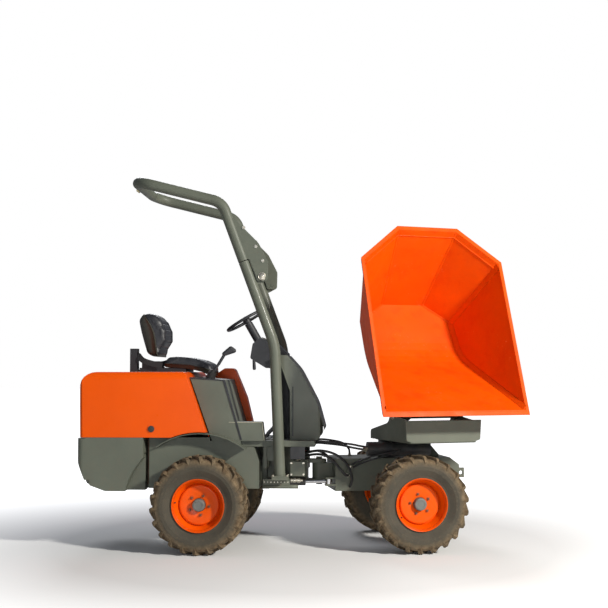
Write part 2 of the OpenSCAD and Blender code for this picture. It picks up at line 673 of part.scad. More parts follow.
// Point where three planes meet, each as [normal, distance]
function meet(a, b, c) = let (n = cross(b[0], c[0]))
    (a[1] * n + b[1] * cross(c[0], a[0]) + c[1] * cross(a[0], b[0])) / (a[0] * n);
// Plane through three points, with its normal outwards as o says
function plane(p, q, r, o) = let (n = cross(q - p, r - p), u = n / norm(n) * (n * o < 0 ? -1 : 1)) [u, u * p];
function out(p, t) = [p[0], p[1] + t];
function flip(p) = [[p[0].x, -p[0].y, p[0].z], p[1]];

function rim_z(x) = lip_z + tan(rim_rise) * (lip_x - x);
rim_lip = [lip_x, rim_half, lip_z];
rim_corner = [-corner_x, rim_half, rim_z(-corner_x)];
rim_back = [-back_x, back_half, rim_z(-back_x)];
floor_corner = [-floor_back, floor_half, 0];
rim_plane = plane(rim_lip, rim_corner, [lip_x, 0, lip_z], [0, 0, 1]);
side_plane = plane(rim_lip, rim_corner, floor_corner, [0, 1, 0]);
corner_plane = plane(rim_back, rim_corner, floor_corner, [-1, 1, 0]);
flat_plane = [[0, 0, -1], 0];
heel = meet(corner_plane, flat_plane, [[0, 1, 0], heel_half]);
back_plane = plane(rim_back, heel, [heel.x, 0, heel.z], [-1, 0, 0]);
slope = atan2(lip_z, lip_x + floor_bend);
bend_run = bend_r * tan(slope / 2);
bend_steps = 4;
// Planes of the floor, from the flat stretch through the bend to the front slope
floor_planes = [for (i = [0:bend_steps + 1])
    let (a = slope * (i == 0 ? 0 : i == bend_steps + 1 ? 1 : (i - 0.5) / bend_steps),
         n = [sin(a), 0, -cos(a)], o = [-floor_bend - bend_run, 0, bend_r],
         r = i == 0 || i == bend_steps + 1 ? bend_r : bend_r * cos(slope / bend_steps / 2) * 1.0005)
    [n, n * o + r]];
// Plate between its inner and outer outlines, which run the same way round
module plate(inner, outer) {
    n = len(inner);
    polyhedron(concat(inner, outer), concat([[for (i = [0:n - 1]) i]],
        [[for (i = [n - 1:-1:0]) n + i]],
        [for (i = [0:n - 1]) [(i + 1) % n, i, n + i, n + (i + 1) % n]]));
}
// Outlines of the skip's plates at a distance t outside its inner faces
function floor_line(i, t, s) = let (f = [for (p = floor_planes) out(p, t)],
        side = s > 0 ? out(side_plane, t) : flip(out(side_plane, t)))
    i < 0 ? meet(f[0], side, s > 0 ? out(corner_plane, t) : flip(out(corner_plane, t)))
    : i > bend_steps ? meet(f[i], side, rim_plane) : meet(f[i], f[i + 1], side);
function heel_at(t, s) = let (c = out(corner_plane, t))
    meet(out(back_plane, t), out(floor_planes[0], t), s > 0 ? c : flip(c));
function rim_at(p, q, t, drop = 0) = meet(out(p, t), out(q, t), out(rim_plane, -drop));

function flat_line(t) = [heel_at(t, 1), floor_line(-1, t, 1), floor_line(0, t, 1),
    floor_line(0, t, -1), floor_line(-1, t, -1), heel_at(t, -1)];
function strip_line(i, t) = [floor_line(i - 1, t, 1), floor_line(i, t, 1), floor_line(i, t, -1),
    floor_line(i - 1, t, -1)];
function middle_line(t) = [rim_at(corner_plane, back_plane, t), heel_at(t, 1), heel_at(t, -1),
    rim_at(flip(corner_plane), back_plane, t)];
function cut_line(t) = [rim_at(side_plane, corner_plane, t), floor_line(-1, t, 1),
    heel_at(t, 1), rim_at(corner_plane, back_plane, t)];
function side_line(t) = [rim_at(side_plane, corner_plane, t),
    for (i = [bend_steps + 1:-1:-1]) floor_line(i, t, 1)];

module skip_floor() color(orange) tip_frame() {
    plate(flat_line(0), flat_line(skip_t));
    for (i = [1:bend_steps + 1]) plate(strip_line(i, 0), strip_line(i, skip_t));
}
module skip_back() color(orange) tip_frame() {
    plate(middle_line(0), middle_line(skip_t));
    both() plate(cut_line(0), cut_line(skip_t));
}
module skip_side() {
    plate(side_line(0), side_line(skip_t));
}
module skip_side_left() color(orange) tip_frame() skip_side();
module skip_side_right() color(orange) tip_frame() mirror([0, 1, 0]) skip_side();
// Planes around the skip's mouth, and the corner i of a line round it
mouth = [floor_planes[bend_steps + 1], side_plane, corner_plane, back_plane, flip(corner_plane),
    flip(side_plane)];
function mouth_at(i, t, d) = rim_at(mouth[i % 6], mouth[(i + 1) % 6], t, d);
module skip_edge() color(orange) tip_frame() {
    near = skip_t + 0.1;
    far = skip_t + edge_w;
    for (i = [0:5]) polyhedron([for (k = [i, i + 1])
        each [mouth_at(k, near, edge_h), mouth_at(k, near, 0), mouth_at(k, far, 0),
        mouth_at(k, far, edge_h)]],
        [[0, 1, 2, 3], [7, 6, 5, 4], [0, 4, 5, 1], [1, 5, 6, 2], [2, 6, 7, 3], [3, 7, 4, 0]]);
}
// Underside of the front slope at x
function slope_z(x) = (x + floor_bend) * tan(slope) - (skip_t + 0.3) / cos(slope);
tip_eye = [-100, 160];
module skip_bracket() color(grey) tip_frame() {
    inner = frame_w / 2 - frame_t - 8;
    both() {
        side_solid([[-44, 0, 0], [-260, slope_z(-260), 0], [90, slope_z(90), 0], [44, 0, 0]],
            24, inner - 12);
        shaft(0, 0, 44, inner - 24, inner);
        shaft(0, 0, hinge_r, inner - 1, frame_w / 2 + 12);
    }
    shaft(0, 0, 30, -inner + 23, inner - 23);
    // Ears of the tipping cylinder's rod
    both() side_solid([[tip_eye.x - 34, tip_eye.y - 30, 20], [tip_eye.x + 34, tip_eye.y - 30, 20],
        [tip_eye.x + 60, slope_z(tip_eye.x + 60), 0], [tip_eye.x - 60, slope_z(tip_eye.x - 60), 0]],
        16, 22 + eye_gap + 8);
    block([-150, -inner + 20, slope_z(-150) - 50], [-130, -38, slope_z(-150)]);
    block([-150, 38, slope_z(-150) - 50], [-130, inner - 20, slope_z(-150)]);
}

// Cylinders

// Barrel from its eye at the origin towards +X; eye w wide across Y
module barrel(r, length, pin, w) {
    difference() {
        union() {
            shaft(0, 0, pin + 16, -w / 2, w / 2);
            translate([pin + 6, 0, 0]) rotate([0, 90, 0]) cylinder(r = r, h = length - pin - 6);
        }
        shaft(0, 0, pin + fit_gap, -w, w);
        translate([pin + 40, 0, 0]) rotate([0, 90, 0]) cylinder(r = rod_r + fit_gap, h = length);
    }
}
// Rod that ends in an eye at the origin, reaching back along -X
module piston_rod(length, w) {
    shaft(0, 0, 28, -w / 2, w / 2);
    translate([-length, 0, 0]) rotate([0, 90, 0]) cylinder(r = rod_r, h = length - 10);
}
// Places of the cylinders' open eyes at this pose
tip_eye_now = [hinge_x + tip_eye.x * cos(tip_now) + tip_eye.y * sin(tip_now),
    hinge_z - tip_eye.x * sin(tip_now) + tip_eye.y * cos(tip_now)];
tip_span = tip_eye_now - tip_base;
tip_angle = atan2(tip_span.y, tip_span.x);
steer_eye_now = [steer_eye.x * cos(steer_now) - steer_eye.y * sin(steer_now),
    steer_eye.x * sin(steer_now) + steer_eye.y * cos(steer_now)];
steer_span = steer_eye_now - steer_pin;
steer_angle = atan2(steer_span.y, steer_span.x);
tip_barrel_l = 560;
steer_barrel_l = 320;

module tip_barrel() color(steel) swivel_frame() translate([tip_base.x, 0, tip_base.y])
    rotate([0, -tip_angle, 0]) barrel(ram_r, tip_barrel_l, 14, 84);
module tip_rod() color(steel) swivel_frame() translate([tip_eye_now.x, 0, tip_eye_now.y])
    rotate([0, -tip_angle, 0]) piston_rod(620, 44);
module steer_barrel() color(black) rear_frame() translate([steer_pin.x, steer_pin.y, steer_z])
    rotate([0, 0, steer_angle]) rotate([90, 0, 0]) barrel(steer_r, steer_barrel_l, 12, 50);
module steer_rod() color(steel) rear_frame()
    translate([steer_eye_now.x, steer_eye_now.y, steer_z]) rotate([0, 0, steer_angle])
    rotate([90, 0, 0]) piston_rod(308, 40);

module tyre_front_left() color(black) wheel_place(1, 1) tyre();
module tyre_front_right() color(black) wheel_place(1, -1) tyre();
module tyre_rear_left() color(black) wheel_place(0, 1) tyre();
module tyre_rear_right() color(black) wheel_place(0, -1) tyre();
module rim_front_left() color(orange) wheel_place(1, 1) wheel_rim();
module rim_front_right() color(orange) wheel_place(1, -1) wheel_rim();
module rim_rear_left() color(orange) wheel_place(0, 1) wheel_rim();
module rim_rear_right() color(orange) wheel_place(0, -1) wheel_rim();

rear_chassis();
side_tanks();
counterweight();
engine();
exhaust();
rear_axle();
mudguards();
hood();
side_console();
seat_box();
seat_base();
seat_cushion();
seat_back();
floor_plate();
cowl();
dash();
steering_wheel();
controls();
rops_legs();
rops_hoop();
rear_lamp();
front_chassis();
front_axle();
slew_drive();
skip_frame();
skip_floor();
skip_back();
skip_side_left();
skip_side_right();
skip_edge();
skip_bracket();
tip_barrel();
tip_rod();
steer_barrel();
steer_rod();
tyre_front_left();
tyre_front_right();
tyre_rear_left();
tyre_rear_right();
rim_front_left();
rim_front_right();
rim_rear_left();
rim_rear_right();
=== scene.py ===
"""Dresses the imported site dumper: materials, seat, hoses, fasteners, lights and camera."""
import math

import bmesh
import bpy
import numpy as np
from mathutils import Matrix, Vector


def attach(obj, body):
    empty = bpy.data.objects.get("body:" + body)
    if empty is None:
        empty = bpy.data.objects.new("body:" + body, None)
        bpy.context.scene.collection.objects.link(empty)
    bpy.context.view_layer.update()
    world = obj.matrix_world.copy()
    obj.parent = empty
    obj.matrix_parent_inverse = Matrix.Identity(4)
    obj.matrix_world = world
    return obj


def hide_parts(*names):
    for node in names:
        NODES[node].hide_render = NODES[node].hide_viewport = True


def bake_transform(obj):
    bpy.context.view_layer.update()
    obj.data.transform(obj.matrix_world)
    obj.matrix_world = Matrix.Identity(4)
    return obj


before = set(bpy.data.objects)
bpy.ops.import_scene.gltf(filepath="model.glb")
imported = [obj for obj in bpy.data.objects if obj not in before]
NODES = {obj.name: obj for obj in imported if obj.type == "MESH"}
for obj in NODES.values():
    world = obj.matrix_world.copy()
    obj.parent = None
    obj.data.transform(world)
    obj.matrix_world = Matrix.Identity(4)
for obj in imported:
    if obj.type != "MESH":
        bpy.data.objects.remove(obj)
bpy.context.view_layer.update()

# Places and angles of the photograph's pose, as in part.scad
PIVOT = np.array([0.117, 0.035, 0.0])
STEER = math.radians(12)
HEADING = math.radians(12 - 79.4)
TIP = math.radians(63.4)
SWIVEL_X = 0.726
HINGE = (0.421, 1.065)
FRONT_AXLE_X, REAR_AXLE_X, AXLE_Z = 0.690, -0.905, 0.38
HALF_TRACK = 0.587
FOLD_X, FOLD_Z = -0.432, 2.168
WHEEL_X, WHEEL_Z = -0.610, 1.843
SIDES = ((-1, "right"), (1, "left"))


def rear(x, y, z):
    """A point of the rear body, measured from the steering pivot."""
    return np.array([x, y, z]) + PIVOT


def turn(p, angle):
    """A point turned about the vertical axis."""
    c, s = math.cos(angle), math.sin(angle)
    return np.array([p[0] * c - p[1] * s, p[0] * s + p[1] * c, p[2]])


def front(x, y, z):
    """A point of the front body."""
    return turn((x, y, z), STEER) + PIVOT


def at_front(direction):
    """A direction of the front body."""
    return turn(direction, STEER)


def at_swivel(direction):
    """A direction of the skip's turntable."""
    return turn(direction, HEADING)


def swivel(x, y, z):
    """A point of the skip's turntable."""
    p = turn((x, y, z), HEADING)
    return p + turn((SWIVEL_X, 0, 0), STEER) + PIVOT


def skip(x, y, z):
    """A point of the skip, from its tipping pin."""
    c, s = math.cos(TIP), math.sin(TIP)
    return swivel(HINGE[0] + x * c + z * s, y, HINGE[1] - x * s + z * c)


# Materials

def tree(name):
    """A new material with its nodes, links and shader."""
    m = bpy.data.materials.new(name)
    m.use_nodes = True
    n = m.node_tree.nodes
    return m, n, m.node_tree.links, n["Principled BSDF"]


def noise(n, links, coords, scale, detail=4.0, rough=0.55):
    """Noise value at the coordinates."""
    t = n.new("ShaderNodeTexNoise")
    t.inputs["Scale"].default_value = scale
    t.inputs["Detail"].default_value = detail
    t.inputs["Roughness"].default_value = rough
    links.new(coords, t.inputs["Vector"])
    return t.outputs["Fac"]


def ramp(n, links, value, low, high, a=0.0, b=1.0):
    """A value mapped from low and high to a and b, and held beyond them."""
    r = n.new("ShaderNodeMapRange")
    r.inputs["From Min"].default_value = low
    r.inputs["From Max"].default_value = high
    r.inputs["To Min"].default_value = a
    r.inputs["To Max"].default_value = b
    links.new(value, r.inputs["Value"])
    return r.outputs["Result"]


def mix(n, links, fac, a, b):
    """A colour from a to b, each a tuple or a socket."""
    x = n.new("ShaderNodeMix")
    x.data_type = "RGBA"
    for socket, v in (("A", a), ("B", b)):
        target = [s for s in x.inputs if s.name == socket and s.type == "RGBA"][0]
        if isinstance(v, tuple):
            target.default_value = (*v, 1.0)
        else:
            links.new(v, target)
    links.new(fac, x.inputs["Factor"])
    return [s for s in x.outputs if s.type == "RGBA"][0]


def times(n, links, a, b):
    """Product of two values, each a number or a socket."""
    m = n.new("ShaderNodeMath")
    m.operation = "MULTIPLY"
    for i, v in enumerate((a, b)):
        if isinstance(v, float):
            m.inputs[i].default_value = v
        else:
            links.new(v, m.inputs[i])
    return m.outputs[0]


def vector(n, links, operation, a, b=None):
    """Outputs of a vector operation on a socket and, for some, a fixed vector."""
    v = n.new("ShaderNodeVectorMath")
    v.operation = operation
    links.new(a, v.inputs[0])
    if b is not None:
        v.inputs[1].default_value = tuple(b)
    return v.outputs


def bump(n, links, shader, height, strength, distance, edge=0.0):
    """Relief from a height, over edges rounded by a radius where one is given."""
    b = n.new("ShaderNodeBump")
    b.inputs["Strength"].default_value = strength
    b.inputs["Distance"].default_value = distance
    links.new(height, b.inputs["Height"])
    if edge:
        soft = n.new("ShaderNodeBevel")
        soft.samples = 4
        soft.inputs["Radius"].default_value = edge
        links.new(soft.outputs["Normal"], b.inputs["Normal"])
    links.new(b.outputs["Normal"], shader.inputs["Normal"])


def surface(name, colour, second, rough, metallic=0.0, coat=0.0, dust=0.0, dust_top=1.0,
            dust_colour=(0.17, 0.13, 0.09), grain=350.0, grain_depth=0.0004, patch=2.2, edge=0.0,
            shine=0.5):
    """Paint, plastic, rubber or metal: two tones in patches, fine grain, dust towards the ground."""
    m, n, links, s = tree(name)
    c = n.new("ShaderNodeTexCoord").outputs["Object"]
    big = noise(n, links, c, patch, 5.0)
    fine = noise(n, links, c, grain, 2.0)
    body = mix(n, links, ramp(n, links, big, 0.35, 0.65), colour, second)
    if dust:
        z = n.new("ShaderNodeSeparateXYZ")
        links.new(c, z.inputs[0])
        low = ramp(n, links, z.outputs["Z"], dust_top, 0.0, 0.15, 1.0)
        spots = ramp(n, links, noise(n, links, c, 14.0, 8.0, 0.7), 0.42, 0.68, 0.0, 1.0)
        body = mix(n, links, times(n, links, times(n, links, low, spots), dust), body, dust_colour)
    links.new(body, s.inputs["Base Color"])
    links.new(ramp(n, links, noise(n, links, c, 9.0, 6.0), 0.3, 0.7, rough - 0.07, rough + 0.09),
              s.inputs["Roughness"])
    s.inputs["Metallic"].default_value = metallic
    s.inputs["Coat Weight"].default_value = coat
    s.inputs["Coat Roughness"].default_value = 0.12
    s.inputs["Specular IOR Level"].default_value = shine
    bump(n, links, s, fine, 0.35, grain_depth, edge)
    return m


def scuff(m):
    """Pale scuffs and darker rubs on the skip's paint, and shallow dents."""
    n, links = m.node_tree.nodes, m.node_tree.links
    shader = n["Principled BSDF"]
    c = n.new("ShaderNodeTexCoord").outputs["Object"]
    before = shader.inputs["Base Color"].links[0].from_socket
    rub = ramp(n, links, noise(n, links, c, 5.5, 7.0, 0.65), 0.52, 0.66, 0.0, 0.45)
    body = mix(n, links, rub, before, (0.62, 0.042, 0.0004))
    marks = times(n, links, ramp(n, links, noise(n, links, c, 3.2, 3.0), 0.54, 0.62),
                  ramp(n, links, noise(n, links, c, 42.0, 9.0, 0.8), 0.60, 0.66, 0.0, 0.55))
    body = mix(n, links, marks, body, (0.80, 0.34, 0.16))
    links.new(body, shader.inputs["Base Color"])
    dents = n.new("ShaderNodeBump")
    dents.inputs["Strength"].default_value = 0.45
    dents.inputs["Distance"].default_value = 0.02
    links.new(noise(n, links, c, 4.0, 1.0), dents.inputs["Height"])
    last = shader.inputs["Normal"].links[0].from_node
    inner = last.inputs["Normal"].links[0].from_socket
    links.new(inner, dents.inputs["Normal"])
    links.new(dents.outputs["Normal"], last.inputs["Normal"])


ORANGE = surface("orange_paint", (0.78, 0.088, 0.0001), (0.74, 0.080, 0.0001), 0.34, coat=0.04,
                 dust=0.16, dust_top=0.9, dust_colour=(0.36, 0.09, 0.02), grain_depth=0.0002,
                 edge=0.004, shine=0.16)
SKIP_PAINT = surface("skip_paint", (0.74, 0.078, 0.0001), (0.68, 0.064, 0.0001), 0.48, coat=0.02,
                     dust=0.24, dust_top=4.0, dust_colour=(0.42, 0.07, 0.012), grain_depth=0.0004,
                     edge=0.003, shine=0.08)
scuff(SKIP_PAINT)
GREY = surface("grey_paint", (0.118, 0.130, 0.100), (0.095, 0.105, 0.082), 0.46, coat=0.05,
               dust=0.40, dust_top=0.9, grain_depth=0.0003, edge=0.004, shine=0.3)
DARK = surface("black_paint", (0.020, 0.021, 0.023), (0.030, 0.031, 0.033), 0.42, dust=0.4)
PLASTIC = surface("black_plastic", (0.012, 0.013, 0.016), (0.019, 0.020, 0.024), 0.52, grain=900.0,
                  grain_depth=0.0006)
SHELL = surface("seat_shell", (0.036, 0.036, 0.028), (0.050, 0.050, 0.040), 0.34, grain=1100.0,
                grain_depth=0.0005, shine=0.5)
VINYL = surface("seat_vinyl", (0.013, 0.014, 0.018), (0.020, 0.021, 0.026), 0.46, grain=1400.0,
                grain_depth=0.0007)
STEEL = surface("bare_steel", (0.42, 0.40, 0.37), (0.30, 0.27, 0.24), 0.38, metallic=0.9, dust=0.3)
RUST = surface("exhaust_steel", (0.20, 0.13, 0.09), (0.12, 0.07, 0.045), 0.7, metallic=0.5)
ZINC = surface("zinc_plate", (0.62, 0.58, 0.48), (0.50, 0.48, 0.42), 0.34, metallic=0.9)
CHROME = surface("chromed_rod", (0.72, 0.72, 0.73), (0.66, 0.66, 0.67), 0.12, metallic=1.0,
                 grain_depth=0.00005)
HOSE = surface("hose_rubber", (0.014, 0.014, 0.015), (0.022, 0.021, 0.020), 0.6, grain=700.0,
               grain_depth=0.0008)
WEBBING = surface("belt_webbing", (0.016, 0.016, 0.018), (0.024, 0.024, 0.026), 0.85, grain=900.0,
                  grain_depth=0.0012)
LAMP = surface("lamp_lens", (0.78, 0.70, 0.38), (0.70, 0.62, 0.34), 0.15, coat=0.6)
RED = surface("red_plastic", (0.45, 0.012, 0.010), (0.38, 0.010, 0.009), 0.35)
# Pale grey-brown for the thin strip along the lower box's top and front edges
PALE_EDGE = surface("pale_edge_strip", (0.30, 0.29, 0.22), (0.20, 0.20, 0.15), 0.5)
HUB = surface("hub_paint", (0.150, 0.160, 0.150), (0.110, 0.115, 0.108), 0.42, dust=0.3,
              dust_top=0.9, edge=0.002)

BY_NODE = {
    "hood": ORANGE, "side_console": ORANGE, "engine": DARK, "exhaust": RUST, "rear_lamp": LAMP,
    "dash": PLASTIC, "steering_wheel": PLASTIC, "controls": PLASTIC, "seat_base": PLASTIC,
    "seat_cushion": VINYL, "seat_back": VINYL, "tip_rod": CHROME, "steer_rod": CHROME,
    "steer_barrel": DARK, "slew_drive": DARK,
}
# A tyre gets a rubber of its own, with the wheels
for name, obj in NODES.items():
    if name.startswith("tyre"):
        continue
    if name in BY_NODE:
        material = BY_NODE[name]
    elif name.startswith("rim"):
        material = ORANGE
    elif name.startswith("skip_") and name not in ("skip_frame", "skip_bracket"):
        material = SKIP_PAINT
    else:
        material = GREY
    obj.data.materials.clear()
    obj.data.materials.append(material)


# Mesh helpers

def piece(name, verts, faces, material, body, smooth=True):
    """A mesh object in one material, riding on a body where one is given."""
    me = bpy.data.meshes.new(name)
    me.from_pydata([tuple(map(float, v)) for v in verts], [], faces)
    me.validate()
    shape = bmesh.new()
    shape.from_mesh(me)
    bmesh.ops.recalc_face_normals(shape, faces=shape.faces)
    shape.to_mesh(me)
    shape.free()
    me.update()
    o = bpy.data.objects.new(name, me)
    bpy.context.collection.objects.link(o)
    me.materials.append(material)
    if smooth:
        for p in me.polygons:
            p.use_smooth = True
    if body:
        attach(o, body)
    return o


def smooth_path(points, steps=10):
    """Points of a Catmull-Rom curve through the given points."""
    p = [np.array(q, float) for q in points]
    p = [2 * p[0] - p[1]] + p + [2 * p[-1] - p[-2]]
    out = []
    for i in range(1, len(p) - 2):
        for k in range(steps):
            t = k / steps
            a, b, c, d = p[i - 1], p[i], p[i + 1], p[i + 2]
            out.append(0.5 * (2 * b + (c - a) * t + (2 * a - 5 * b + 4 * c - d) * t ** 2
                              + (3 * b - a - 3 * c + d) * t ** 3))
    out.append(p[-2])
    return out


def tube_mesh(path, radius, sides=12):
    """Vertices and faces of a tube along a path, with closed ends."""
    path = [np.array(p, float) for p in path]
    verts, faces = [], []
    ref = np.array([0.0, 0.0, 1.0])
    first = path[1] - path[0]
    if abs(first @ ref) > 0.9 * np.linalg.norm(first):
        ref = np.array([0.0, 1.0, 0.0])
    for i, p in enumerate(path):
        d = path[min(i + 1, len(path) - 1)] - path[max(i - 1, 0)]
        d /= np.linalg.norm(d) + 1e-12
        u = ref - d * (ref @ d)
        u /= np.linalg.norm(u)
        ref = u
        w = np.cross(d, u)
        for k in range(sides):
            a = 2 * math.pi * k / sides
            verts.append(p + radius * (u * math.cos(a) + w * math.sin(a)))
        if i:
            for k in range(sides):
                q, r = (i - 1) * sides, (k + 1) % sides
                faces.append((q + k, q + r, q + sides + r, q + sides + k))
    faces.append(tuple(range(sides - 1, -1, -1)))
    faces.append(tuple(range(len(verts) - sides, len(verts))))
    return verts, faces


def join(parts):
    """Several (verts, faces) as one."""
    verts, faces = [], []
    for v, f in parts:
        base = len(verts)
        verts += list(v)
        faces += [tuple(i + base for i in q) for q in f]
    return verts, faces


def lathe(profile, origin, axis, sides=24):
    """Turned form: profile is (distance along the axis, radius) pairs."""
    axis = np.array(axis, float)
    axis /= np.linalg.norm(axis)
    ref = np.array([0.0, 0.0, 1.0]) if abs(axis[2]) < 0.9 else np.array([1.0, 0.0, 0.0])
    u = np.cross(axis, ref)
    u /= np.linalg.norm(u)
    w = np.cross(axis, u)
    origin = np.array(origin, float)
    verts, faces = [], []
    for i, (h, r) in enumerate(profile):
        for k in range(sides):
            a = 2 * math.pi * k / sides
            verts.append(origin + axis * h + r * (u * math.cos(a) + w * math.sin(a)))
        if i:
            for k in range(sides):
                q, s = (i - 1) * sides, (k + 1) % sides
                faces.append((q + k, q + s, q + sides + s, q + sides + k))
    faces.append(tuple(range(sides - 1, -1, -1)))
    faces.append(tuple(range(len(verts) - sides, len(verts))))
    return verts, faces


def bolt(at, axis, size=0.012, washer=True):
    """Hexagon head with a washer; size is the radius of the head."""
    at, axis = np.array(at, float), np.array(axis, float)
    axis /= np.linalg.norm(axis)
    out = []
    base = 0.0
    if washer:
        out.append(lathe([(0, size * 1.35), (size * 0.2, size * 1.35)], at, axis, 20))
        base = size * 0.2
    out.append(lathe([(base, size), (base + size * 0.62, size), (base + size * 0.75, size * 0.85)],
                     at, axis, 6))
    return join(out)


def soften(o, degrees=35):
    """Smooth shading with sharp edges kept above an angle."""
    for q in o.data.polygons:
        q.use_smooth = True
    o.data.set_sharp_from_angle(angle=math.radians(degrees))


def bevel(o, width):
    """Eases the edges of a flat-sided piece."""
    b = o.modifiers.new("bevel", "BEVEL")
    b.width = width
    b.segments = 2
    b.limit_method = "ANGLE"
    b.angle_limit = math.radians(30)


# Camera

CAM_AT = np.array([0.383, -9.02, 1.409]) + PIVOT
YAW, PITCH = math.radians(3.23), math.radians(3.59)
looks = Vector((-math.sin(YAW) * math.cos(PITCH), math.cos(YAW) * math.cos(PITCH), math.sin(PITCH)))
cam = bpy.data.objects.new("camera", bpy.data.cameras.new("camera"))
bpy.context.collection.objects.link(cam)
cam.location = CAM_AT
cam.rotation_mode = "QUATERNION"
cam.rotation_quaternion = looks.to_track_quat("-Z", "Y")
cam.data.sensor_width = 36.0
# Fitted to the photograph: the focal length in pixels over the picture's width
cam.data.lens = cam.data.sensor_width * 1081.0 / 608.0
cam.data.clip_end = 100.0
bpy.context.scene.camera = cam
bpy.context.scene.view_settings.view_transform = "Standard"

# Floor and light

def floor_material():
    """Pale floor that takes the shadow near the machine and fades to white away from it."""
    m, n, links, s = tree("floor_white")
    s.inputs["Base Color"].default_value = (0.80, 0.80, 0.80, 1)
    s.inputs["Roughness"].default_value = 0.95
    s.inputs["Specular IOR Level"].default_value = 0.0
    c = n.new("ShaderNodeTexCoord").outputs["Object"]
    far = vector(n, links, "LENGTH", c)["Value"]
    glow = n.new("ShaderNodeEmission")
    glow.inputs["Color"].default_value = (1, 1, 1, 1)
    links.new(ramp(n, links, far, 2.0, 5.0), glow.inputs["Strength"])
    seen = n.new("ShaderNodeLightPath")
    both = n.new("ShaderNodeAddShader")
    links.new(s.outputs[0], both.inputs[0])
    links.new(glow.outputs[0], both.inputs[1])
    pick = n.new("ShaderNodeMixShader")
    links.new(seen.outputs["Is Camera Ray"], pick.inputs["Fac"])
    links.new(s.outputs[0], pick.inputs[1])
    links.new(both.outputs[0], pick.inputs[2])
    links.new(pick.outputs[0], n["Material Output"].inputs["Surface"])
    return m


bpy.ops.mesh.primitive_plane_add(size=160, location=(0, 0, -0.001))
floor = bpy.context.object
floor.name = "floor"
floor.data.materials.append(floor_material())

# The sky gives dim light, and the camera sees it white
world = bpy.data.worlds.new("studio")
bpy.context.scene.world = world
world.use_nodes = True
wn, wl = world.node_tree.nodes, world.node_tree.links
back = wn["Background"]
back.inputs["Color"].default_value = (0.86, 0.90, 1.0, 1)
back.inputs["Strength"].default_value = 0.22
white = wn.new("ShaderNodeBackground")
white.inputs["Color"].default_value = (1, 1, 1, 1)
white.inputs["Strength"].default_value = 1.0
path = wn.new("ShaderNodeLightPath")
pick = wn.new("ShaderNodeMixShader")
wl.new(path.outputs["Is Camera Ray"], pick.inputs["Fac"])
wl.new(back.outputs[0], pick.inputs[1])
wl.new(white.outputs[0], pick.inputs[2])
wl.new(pick.outputs[0], wn["World Output"].inputs["Surface"])


def area(name, at, target, size, power, colour):
    """A round lamp at a place, turned to a target."""
    light = bpy.data.lights.new(name, "AREA")
    light.shape = "DISK"
    light.size = size
    light.energy = power
    light.color = colour
    o = bpy.data.objects.new(name, light)
    bpy.context.collection.objects.link(o)
    o.location = at
    o.rotation_mode = "QUATERNION"
    o.rotation_quaternion = (Vector(target) - Vector(at)).to_track_quat("-Z", "Y")


area("key", (7.6, -6.4, 5.6), (0, 0, 1.2), 0.9, 1500, (1.0, 0.97, 0.90))
area("fill", (-0.5, -9.5, 1.6), (0, 0, 0.9), 2.0, 110, (0.94, 0.97, 1.0))
area("rim", (-2.0, 6.0, 5.5), (0, 0, 1.2), 3.0, 200, (0.95, 0.97, 1.0))

# Seat

def pad(width, lower, upper, nu=60, nv=44, edge=0.045, taper=0.0, bolster=0.0):
    """Crowned closed form between a lower and an upper side line, rounded off all round."""
    t = np.linspace(0.0, 1.0, len(lower))
    low, high = np.array(lower), np.array(upper)
    length = np.linalg.norm(np.diff(low, axis=0), axis=1).sum()
    verts, faces = [], []
    for side in (1, -1):
        for i in range(nu + 1):
            u = i / nu
            base = np.array([np.interp(u, t, low[:, k]) for k in (0, 1)])
            top = np.array([np.interp(u, t, high[:, k]) for k in (0, 1)])
            near = min(1.0, min(u, 1 - u) * length / edge)
            round_u = math.sqrt(max(0.0, 1 - (1 - near) ** 2))
            half = width / 2 * (1 - taper * u) * (1 - 0.16 * (1 - round_u))
            for j in range(nv + 1):
                v = j / nv * 2 - 1
                fall = min(1.0, (1 - abs(v)) * width / 2 / edge)
                round_v = math.sqrt(max(0.0, 1 - (1 - fall) ** 2))
                h = round_u * round_v
                if side > 0:
                    h *= 0.90 + 0.10 * (1 - v * v) + bolster * max(0.0, abs(v) - 0.6) / 0.4
                    q = base + (top - base) * h
                else:
                    q = base - (top - base) * 0.10 * h
                verts.append((q[0], v * half, q[1]))
    row = nv + 1
    size = (nu + 1) * row
    for i in range(nu):
        for j in range(nv):
            a = i * row + j
            faces.append((a, a + 1, a + row + 1, a + row))
            b = size + a
            faces.append((b, b + row, b + row + 1, b + 1))
    for i in range(nu):
        for j in (0, nv):
            a, b = i * row + j, size + i * row + j
            faces.append((a, a + row, b + row, b))
    for j in range(nv):
        for i in (0, nu):
            a, b = i * row + j, size + i * row + j
            faces.append((a, b, b + 1, a + 1))
    return [rear(*q) for q in verts], faces


